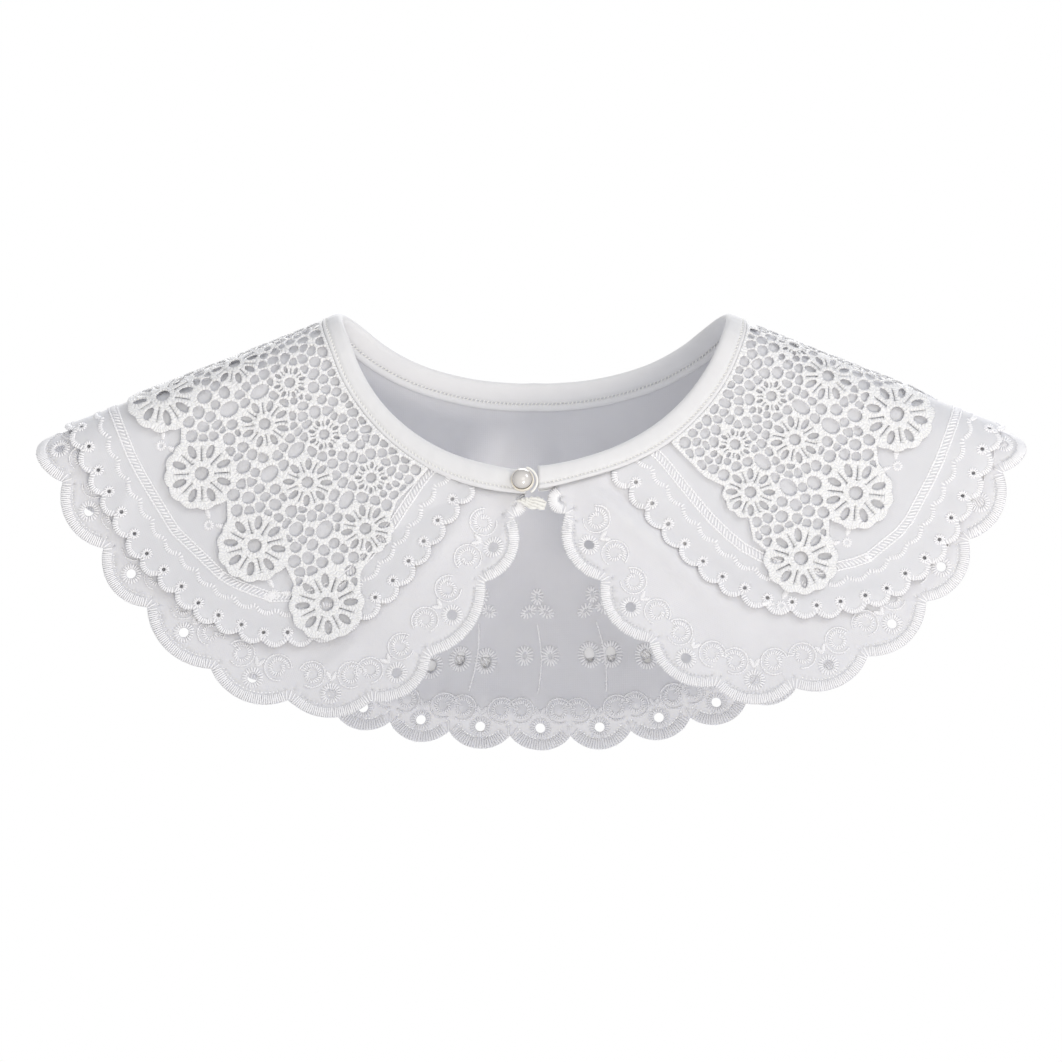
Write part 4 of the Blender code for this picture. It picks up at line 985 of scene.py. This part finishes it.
def scrollStitches(centre, start, hand):  # a stem-stitched curl round a curled satin band
    setting = stitching["scroll"]

    def curl(outer, inner, sweep):
        turns = np.linspace(0, math.radians(sweep), 90)
        reach = outer + (inner - outer) * (turns / turns[-1]) ** 0.8
        return np.array(centre) + reach[:, None] * heading(start + hand * turns)

    places, ways = evenly(curl(setting["outer"], setting["outer"] * 0.93, setting["sweep"]), setting["stemPitch"])
    rows = [stitchRow(places, ways + 0.15, setting["stem"], setting["width"], setting["height"])]
    places, ways = evenly(curl(*setting["band"], setting["turn"]), setting["pitch"])
    rows.append(stitchRow(places, ways + math.pi / 2 - 0.35 * hand, setting["length"], setting["width"],
                          setting["height"] * 0.85))
    return np.vstack(rows)


def leafStitches(root, way, length, width):  # a small satin leaf from its root
    setting = stitching["leaf"]
    count = max(round(length / setting["pitch"]), 3)
    shares = (np.arange(count) + 0.5) / count
    places = np.array(root) + np.outer(shares * length, heading(way))
    spans = width * np.sin(math.pi * shares) ** 0.6 + 0.3
    return stitchRow(places, way + math.pi / 2 - 0.3, spans, setting["width"], setting["height"])


def cottonStitches(panel):
    rows = [edgeStitches(cottonEdges[panel], stitching["backHem" if panel == "back" else "hem"])]
    eyelets, ovals = cottonEyelets[panel]
    scroll, leaf, opening = stitching["scroll"], stitching["hemLeaf"], stitching["openOval"]
    rows += [ringStitches(spot, stitching["eyelet"]) for spot in eyelets]
    notches = cottonNotches[panel]
    for (x0, y0), (x1, y1) in zip(notches, notches[1:]):
        length = math.hypot(x1 - x0, y1 - y0)
        if length < scroll["leastScallop"]:
            continue
        along = np.array((x1 - x0, y1 - y0)) / length
        out = np.array((along[1], -along[0]))
        middle = np.array((x0 + x1, y0 + y1)) / 2
        for hand in (-1, 1):
            centre = middle + hand * along * scroll["apart"] - out * scroll["inboard"]
            rows.append(scrollStitches(centre, math.atan2(out[1], out[0]) + hand * scroll["start"], hand))
        root, inward = middle - out * leaf["inboard"], math.atan2(-out[1], -out[0])
        for hand in (-1, 1):
            rows.append(leafStitches(root, inward + hand * leaf["turn"], leaf["length"], leaf["width"]))
    for centre, across, along in ovals:
        rows.append(ovalStitches(centre, across + opening["clear"], along + opening["clear"], opening["length"],
                                 math.atan2(centre[1], centre[0])))
    if panel == "back":
        rows += backFlowers([centre for centre, *_ in ovals])
    return rows


def backFlowers(taken):  # two closed ovals, three lobes over them and a stem, along the back
    flower = stitching["backFlower"]
    rows = []
    count = int(math.degrees(fullAngle) / flower["pitch"])
    for i in range(-count, count + 1):
        middle = flower["middle"] + i * flower["pitch"]
        for hand in (-1, 1):
            turn = math.radians(middle + hand * flower["apart"])
            centre = flower["radius"] * math.sin(turn), flower["radius"] * math.cos(turn)
            if min(math.dist(centre, spot) for spot in taken) > flower["clear"]:
                rows.append(ovalStitches(centre, *flower["oval"], math.atan2(centre[1], centre[0])))
        turn = math.radians(middle)
        up = np.array((math.sin(turn), math.cos(turn)))
        top = up * (flower["radius"] - flower["rise"])
        for lobe in flower["lobeTurns"]:
            way = math.atan2(-up[1], -up[0]) + lobe
            spot = top + flower["lobe"] * heading(way)
            rows.append(ovalStitches(spot, *flower["lobeOval"], way))
        above, below = flower["stem"]
        stem = np.linspace(top + up * above, up * (flower["radius"] + below), flower["stemSteps"])
        bow = np.sin(np.linspace(0, math.pi, flower["stemSteps"])) * flower["bow"]
        places, ways = evenly(stem + np.outer(bow, (up[1], -up[0])), flower["stitchPitch"])
        rows.append(stitchRow(places, ways + 0.12, *flower["stitch"]))
    return rows


def ovalStitches(centre, across, along, length, way):
    setting = stitching["oval"]
    count = round(math.pi * (across + along + length) / setting["pitch"])
    turns = 2 * math.pi * np.arange(count) / count
    reach = np.stack((along * np.cos(turns), across * np.sin(turns)), axis=1)
    out = np.arctan2(reach[:, 1] * (along / across), reach[:, 0])
    reach = reach + length / 2 * heading(out)
    cos, sin = math.cos(way), math.sin(way)
    places = np.stack((centre[0] + reach[:, 0] * cos - reach[:, 1] * sin,
                       centre[1] + reach[:, 0] * sin + reach[:, 1] * cos), axis=1)
    return stitchRow(places, out + way, length, setting["width"], setting["height"])


cottonSewn = {panel: sew(panel, "cotton", cottonStitches(panel), outlineOf(panel, cottonEdges[panel], -1.0))
              for panel in cottonNodes}
print("lace capelet: base embroidered")


def voileStitches(panel):
    line = evenly(voileLines[panel], 2.0)[0]
    rows = [edgeStitches(voileEdges[panel], stitching["voileHem"])]
    rows += [ringStitches(spot, stitching["voileRing"]) for spot in voileRings[panel]]
    wave, braid = stitching["voileWave"], stitching["voileBraid"]
    inner = shifted(line, wave["inboard"])
    rows.append(edgeStitches(scallopEdge(notchesAlong(inner, voile["pitch"] * 0.94), wave["depth"], 10),
                             {**wave, "over": 0.0}))
    inner = shifted(line, braid["inboard"])
    places, ways = evenly(inner, braid["pitch"])
    rows.append(stitchRow(places, ways + 0.95, braid["bar"], braid["width"], braid["height"]))
    for side in (-1, 1):
        rail, ways = evenly(shifted(inner, side * braid["rail"]), braid["railLength"])
        rows.append(stitchRow(rail, ways + 0.15, braid["railLength"] * 1.15, braid["width"] * 1.2, braid["height"]))
    return rows + sprigStitches(panel)


def sprigStitches(panel):  # a ringed eyelet with two leaves, in each notch between the lace's daisies
    sprig = stitching["sprig"]
    ring = {**stitching["voileRing"], "inner": sprig["ring"][0], "outer": sprig["ring"][1]}
    rows = []
    for (angle, radius), (nextAngle, nextRadius) in zip(laceRows(panel), laceRows(panel)[1:]):
        turn, reach = angle + (nextAngle - angle) * 0.47, (radius + nextRadius) / 2 * sprig["radius"]
        centre = np.array(spotOf(panel, turn, reach))
        inward = math.atan2(-centre[1], -centre[0])
        rows.append(ringStitches(centre, ring))
        for hand in (-1, 1):
            way = inward + hand * sprig["spread"]
            root = centre + 3.0 * heading(way)
            rows.append(leafStitches(root, way + hand * 0.3, sprig["leaf"], sprig["leafWidth"]))
    return rows


voileSewn = {panel: sew(panel, "voile", voileStitches(panel), outlineOf(panel, voileEdges[panel], -0.5))
             for panel in voileNodes}
print("lace capelet: voile embroidered")

# ---- neckband pieces
def bandStations():  # from the left front end round the back to the right front end: side, face, and both angles
    rows = []
    for side in (-1, 1):
        table = bandTable(side, "front")
        end = neckband["ends"][0 if side < 0 else 1] + side
        last = [endAngle(side, float(cubicTable(table, table[-1][0], column)), end) for column in (1, 2)]
        count = round(last[1] * neckband["stepRadii"][0] / neckband["step"])
        shares = np.linspace(0, 1, count + 1)
        front = [(side, "front", last[0] * s, last[1] * s) for s in shares[::-1]]
        full, top, seam = (float(centreAngle(radius)) for radius in neckband["endRadii"])
        count = round(full * neckband["stepRadii"][1] / neckband["step"])
        back = []
        for s in np.linspace(0, 1, count + 1)[1:]:
            mixed = eased(np.array(s), 0.0, 1.0)
            back.append((side, "back", s * (full + mixed * (top - full)), s * (full + mixed * (seam - full))))
        rows.append((front, back))
    (leftFront, leftBack), (rightFront, rightBack) = rows
    return [*leftFront, *leftBack, *rightBack[:-1][::-1], *rightFront[::-1]]


def bandPlace(station, share, height):
    side, face, topAngle, seamAngle = station
    table = bandTable(side, face)
    top = float(cubicTable(table, math.degrees(topAngle), 1))
    seam = float(cubicTable(table, math.degrees(seamAngle), 2))
    share, height = np.asarray(share, float), np.asarray(height, float)
    radius = top + (seam - top) * share
    return drape(side, face, radius, topAngle + (seamAngle - topAngle) * share, height)


def addNeckband():
    section = np.array(neckband["section"])
    rise = section[:, 1] - neckband["middle"]
    stations = bandStations()
    rows = []
    for i, station in enumerate(stations):
        pucker = neckband["pucker"] * math.sin(i * 2.1 + 1.3 * math.sin(i * 0.7))
        face = np.exp(-((section[:, 0] - 0.5) / 0.35) ** 2) * (section[:, 1] > 2)
        rows.append(bandPlace(station, section[:, 0], section[:, 1] + pucker * face))
    for index, side in ((0, -1), (-1, 1)):  # the ends are folded in and pressed
        station = stations[index]
        caps = []
        for turn in neckband["endTurns"]:
            cap = bandPlace(station, section[:, 0], neckband["middle"] + rise * math.cos(math.radians(turn)))
            cap[:, 0] -= side * math.sin(math.radians(turn)) * mm
            caps.append(cap)
        rows = [*caps[::-1], *rows] if index == 0 else [*rows, *caps]
    points = np.array(rows)
    count, wide = points.shape[:2]
    faces = gridFaces(count, wide, False)
    across = lengthsAlong(section * (neckband["depth"], 1))
    along = lengthsAlong(points.mean(axis=1)) / mm
    flat = np.stack(np.broadcast_arrays(along[:, None], across[None, :]), axis=-1).reshape(-1, 2)
    points = points.reshape(-1, 3)
    a, b, c = (points[faces[:, i]] for i in range(3))
    outside = np.cross(b - a, c - a)[:, 1] * (a + b + c)[:, 1]
    outer = faces[:, 0] % wide < 10
    if outside[outer].sum() < 0:
        faces = faces[:, ::-1]
    piece = newPiece("neck_band", points, faces, looks["binding"], {"cloth": flat})
    thicken(piece, neckband["thickness"], -1.0)
    settle(piece, "binding", "neckband")
    return piece, stations, (along[-1] * mm, across[-1] * mm)


def addBandStitches(stations):  # the edge stitching: outside just above the seam, and inside above its welt
    setting = neckband["stitch"]
    pitch, parts = setting["pitch"] * mm, []
    for share, height in setting["rows"]:
        line = np.array([bandPlace(station, share, height)[0] for station in stations])
        outer = np.array([bandPlace(station, share, height + 0.5)[0] for station in stations])
        lengths = lengthsAlong(line)
        marks = np.arange(pitch, lengths[-1] - pitch, pitch)
        spots, over, ahead, behind = (placesAlong(source, lengths, marks + shift) for source, shift in (
            (line, 0.0), (outer, 0.0), (line, 0.5 * mm), (line, -0.5 * mm)))
        way, up = ahead - behind, over - spots
        way /= np.linalg.norm(way, axis=1)[:, None]
        up /= np.linalg.norm(up, axis=1)[:, None]
        side = np.cross(way, up)
        slanted = way * math.cos(setting["slant"]) + side * math.sin(setting["slant"])
        cross = np.cross(slanted, up)
        sizes = np.array((setting["length"], setting["width"], setting["height"])) * mm
        frames = np.stack((slanted, cross, up), axis=1)
        parts.append((spots[:, None] + (grainPoints * sizes) @ frames).reshape(-1, 3))
    points = np.vstack(parts)
    faces = closedFaces(points, grainCopies(len(points) // len(grainPoints)))
    settle(newPiece("band_stitching", points, faces, looks["sewing"]), "thread")


bandPiece, stationsUsed, bandSize = addNeckband()
addBandStitches(stationsUsed)
print("lace capelet: neckband folded")

# ---- button
button = {
    "place": (-4.3, -73.1), "pearlRadius": 4.3, "pearlDepth": 3.2, "pearlLift": 4.1,
    "bezelRadius": 4.95, "bezelDepth": 3.4, "gap": 0.3, "sides": 64,
    "loopRadius": 6.1, "loopFrom": 75, "loopTo": -55, "loopHeight": 5.0,
    "strands": 3, "strandRadius": 0.27, "strandReach": 0.24, "strandTwist": 26, "strandSides": 8,
    "tab": ((-7.0, -80.6), (1.6, -79.2), (5.2, -81.6), (4.2, -84.8), (-2.0, -84.4)),
    "tabStep": 0.3, "tabWall": 0.6, "foldRoot": (-12.0, -77.5), "foldTurn": 5.5, "foldHeight": (1.9, 1.3),
}


def frontPolar(x, z):
    lean, faceTurn = math.radians(form["shoulderAngle"]), math.radians(form["faceAngle"])
    fall = form["apexHeight"] - np.asarray(z, float)
    along = np.abs(x) * math.sin(lean) + fall * math.cos(lean)
    drop = fall * math.sin(lean) - np.abs(x) * math.cos(lean)
    across = form["ridgeRadius"] * faceTurn
    across = across + (drop - form["ridgeRadius"] * (1 - math.cos(faceTurn))) / math.sin(faceTurn)
    return np.hypot(along, across), np.arctan2(across, along)


def seenPlace(x, z, height):  # places on the front by where they are seen, in mm, to metres
    x = np.atleast_1d(np.asarray(x, float))
    radius, angle = frontPolar(x, np.atleast_1d(z))
    left, right = drape(-1, "front", radius, angle, height), drape(1, "front", radius, angle, height)
    return np.where(x[:, None] > 0, right, left)


def standOn(piece, lift):
    seat, above = (seenPlace(*button["place"], 4.2 + h)[0] for h in (0.0, 1.0))
    normal = Vector(above - seat).normalized()
    turn = normal.to_track_quat("Z", "Y").to_matrix().to_4x4()
    turn.translation = Vector(seat) + normal * lift * mm
    piece.data.transform(turn)


def latheRing(name, profile, sides):
    turns = 2 * math.pi * np.arange(sides) / sides
    r, z = np.array(profile).T
    points = np.stack((r[:, None] * np.cos(turns), r[:, None] * np.sin(turns), z[:, None] + 0 * turns), axis=-1)
    return newPiece(name, points.reshape(-1, 3) * mm, gridFaces(len(r), sides, True), looks["ivory"])


def addButton():
    bpy.ops.mesh.primitive_uv_sphere_add(segments=button["sides"], ring_count=button["sides"] // 2,
                                         radius=button["pearlRadius"] * mm)
    pearl = bpy.context.object
    pearl.name = "pearl_stone"
    bpy.ops.transform.resize(value=(1, 1, button["pearlDepth"] / button["pearlRadius"]), center_override=(0, 0, 0))
    bpy.ops.object.transform_apply(scale=True)
    bpy.ops.object.shade_smooth()
    pearl.data.materials.append(looks["pearl"])
    standOn(pearl, button["gap"] + button["pearlLift"])
    r, depth, seat = button["bezelRadius"], button["bezelDepth"], button["pearlRadius"] + 0.12
    profile = [(0.02, 0.0), (r - 0.9, 0.0), (r - 0.35, 0.25), (r, 0.9), (r, depth - 0.9), (r - 0.08, depth - 0.4),
               (r - 0.3, depth - 0.12), (seat + 0.12, depth), (seat - 0.03, depth - 0.15), (seat - 0.12, depth - 0.8),
               (seat - 0.9, 1.6), (0.02, 0.9)]
    bezel = latheRing("pearl_setting", profile[::-1], button["sides"])
    standOn(bezel, button["gap"])
    settle(pearl, "pearl", "pearl")
    settle(bezel, "ivory", "pearl_bezel")


def cordAlong(centres, radius, sides):  # a round cord through places in metres
    step = np.gradient(centres, axis=0)
    step /= np.linalg.norm(step, axis=1)[:, None]
    first = np.cross(step, (0.0, 1.0, 0.0))
    first /= np.linalg.norm(first, axis=1)[:, None]
    second = np.cross(step, first)
    turns = 2 * math.pi * np.arange(sides) / sides
    points = centres[:, None] + radius * (first[:, None] * np.cos(turns)[:, None]
                                          + second[:, None] * np.sin(turns)[:, None])
    return points.reshape(-1, 3), gridFaces(len(centres), sides, True)[:, ::-1]


def addLoop():
    turns = np.radians(np.linspace(button["loopFrom"], button["loopTo"], 60))
    x0, z0 = button["place"]
    seat = seenPlace(x0, z0, button["loopHeight"])[0]
    normal = Vector(seenPlace(x0, z0, button["loopHeight"] + 1.0)[0] - seat).normalized()
    up = np.array(normal.cross(Vector((-1, 0, 0))))
    up *= np.sign(up[2])
    strands, faces, first = [], [], 0
    for strand in range(button["strands"]):
        twist = turns * button["strandTwist"] + strand * 2 * math.pi / button["strands"]
        ring = (button["loopRadius"] + button["strandReach"] * np.cos(twist))[:, None] * mm
        spots = seat + ring * (np.cos(turns)[:, None] * (1, 0, 0) + np.sin(turns)[:, None] * up)
        spots = spots + np.array(normal) * (button["strandReach"] * mm * np.sin(twist))[:, None]
        points, quads = cordAlong(spots, button["strandRadius"] * mm, button["strandSides"])
        strands.append(points)
        faces.append(quads + first)
        first += len(points)
    settle(newPiece("loop_thread", np.vstack(strands), np.vstack(faces), looks["sewing"]), "thread", "thread_loop")


def addTab():
    step = button["tabStep"]
    loop = evenly(button["tab"], step, True)[0]
    grid = np.stack(np.meshgrid(np.arange(-8, 6, step), np.arange(-86, -78, step)), axis=-1).reshape(-1, 2)
    grid = grid[insideLoop(grid, loop)]
    near = np.array([np.hypot(*(loop - p).T).min() for p in grid])
    flat = np.vstack((loop, grid[near > 0.2]))
    edges = [(i, (i + 1) % len(loop)) for i in range(len(loop))]
    faces = np.array(delaunay_2d_cdt([Vector(p) for p in flat], edges, [], 1, 1e-5)[2])
    middle = flat[faces].mean(axis=1)
    faces = faces[insideLoop(middle, loop)]
    root = np.array(button["foldRoot"])
    turn = np.degrees(np.arctan2(flat[:, 1] - root[1], flat[:, 0] - root[0]))  # the folds fan out from the button
    low, rise = button["foldHeight"]
    height = low + rise * ((turn / button["foldTurn"]) % 1.0) ** 0.8
    points = seenPlace(flat[:, 0], flat[:, 1], height)
    piece = newPiece("tab_fold", points, outwardFaces(points, faces), looks["cream"], {"cloth": flat})
    thicken(piece, button["tabWall"])
    settle(piece, "thread", "band_end_tab")


def pearlMaterial():  # Imitation pearl: a soft white ball under clear lacquer; its colour darkens from pale grey to grey-brown towards its rim, a painted shade and painted dark reflection.
    material, shader = startMaterial("pearl nacre", 0.24, coat=1.0, ior=1.65)
    shader.inputs["Coat Roughness"].default_value = 0.05
    shader.inputs["Coat IOR"].default_value = 1.9
    facing = addNode(material, "ShaderNodeLayerWeight", {}, {"Blend": 0.5})
    # Painted shade and painted reflection: pale grey where the surface faces the viewer, dark grey-brown at the rim.
    giveTint(material, shader, facing.outputs["Facing"], "#D6D3D1", "#77706B")
    return material


def plainMaterial(name, colour, roughness, coat=0.0):  # Cast ivory resin: smooth, warm and half glossy.
    material, shader = startMaterial(name, roughness, coat=coat)
    shader.inputs["Base Color"].default_value = linear(colour)
    shader.inputs["Subsurface Weight"].default_value = 0.1
    shader.inputs["Subsurface Radius"].default_value = (0.002, 0.0016, 0.0012)
    return material


looks["pearl"] = pearlMaterial()
looks["ivory"] = plainMaterial("ivory resin", "#EDE6D8", 0.35, 0.2)
addButton()
addLoop()
addTab()
print("lace capelet: button, loop and band end made")

# ---- camera, light and floor
view = {
    "eye": (-0.0013, -5.0, -0.0933), "field": 0.4567, "sensor": 36.0, "sky": 0.67, "floor": -0.36, "floorRadius": 0.6,
    "middle": (0, 0, -0.09),
    "lights": (  # name, place, size, power, colour
        ("key", (1.7, -1.5, 1.6), 1.1, 15.0, "#F8FAFF"), ("fill", (0.3, -3.0, 0.5), 1.6, 6.0, "#FFFCF6"),
        ("low", (0.55, -2.6, -1.1), 0.7, 30.0, "#FFF8EC"), ("rim", (0.2, 2.2, 1.2), 1.4, 50.0, "#FFFFFF")),
}


def addCamera():
    bpy.ops.object.camera_add(location=view["eye"], rotation=(math.radians(90), 0, 0))
    camera = bpy.context.object
    camera.data.sensor_width = view["sensor"]
    camera.data.lens = view["sensor"] * abs(view["eye"][1]) / view["field"]
    camera.data.clip_end = 20.0
    bpy.context.scene.camera = camera


def addLight(name, place, size, power, colour):
    bpy.ops.object.light_add(type="AREA", location=place)
    light = bpy.context.object
    light.name = name
    light.data.shape = "DISK"
    light.data.size = size
    light.data.energy = power
    light.data.color = linear(colour)[:3]
    light.rotation_euler = (Vector(view["middle"]) - Vector(place)).to_track_quat("-Z", "Y").to_euler()


def addWorld():
    world = bpy.data.worlds.new("studio")
    world.use_nodes = True
    bpy.context.scene.world = world
    background = world.node_tree.nodes["Background"]
    path = addNode(world, "ShaderNodeLightPath")
    strength = addNode(world, "ShaderNodeMapRange", {}, {
        "Value": path.outputs["Is Camera Ray"], "To Min": view["sky"], "To Max": 1.0})
    world.node_tree.links.new(strength.outputs["Result"], background.inputs["Strength"])
    background.inputs["Color"].default_value = (1, 1, 1, 1)


addCamera()
addWorld()
for setting in view["lights"]:
    addLight(*setting)
bpy.ops.mesh.primitive_circle_add(vertices=96, radius=view["floorRadius"], fill_type="NGON",
                                  location=(0, 0, view["floor"]))
floor = bpy.context.object
floor.name = "studio_floor"
bpy.ops.object.transform_apply(location=True)
floor.data.materials.append(plainMaterial("matt floor", "#E8E8EA", 0.8))
bpy.context.scene.view_settings.view_transform = "Standard"
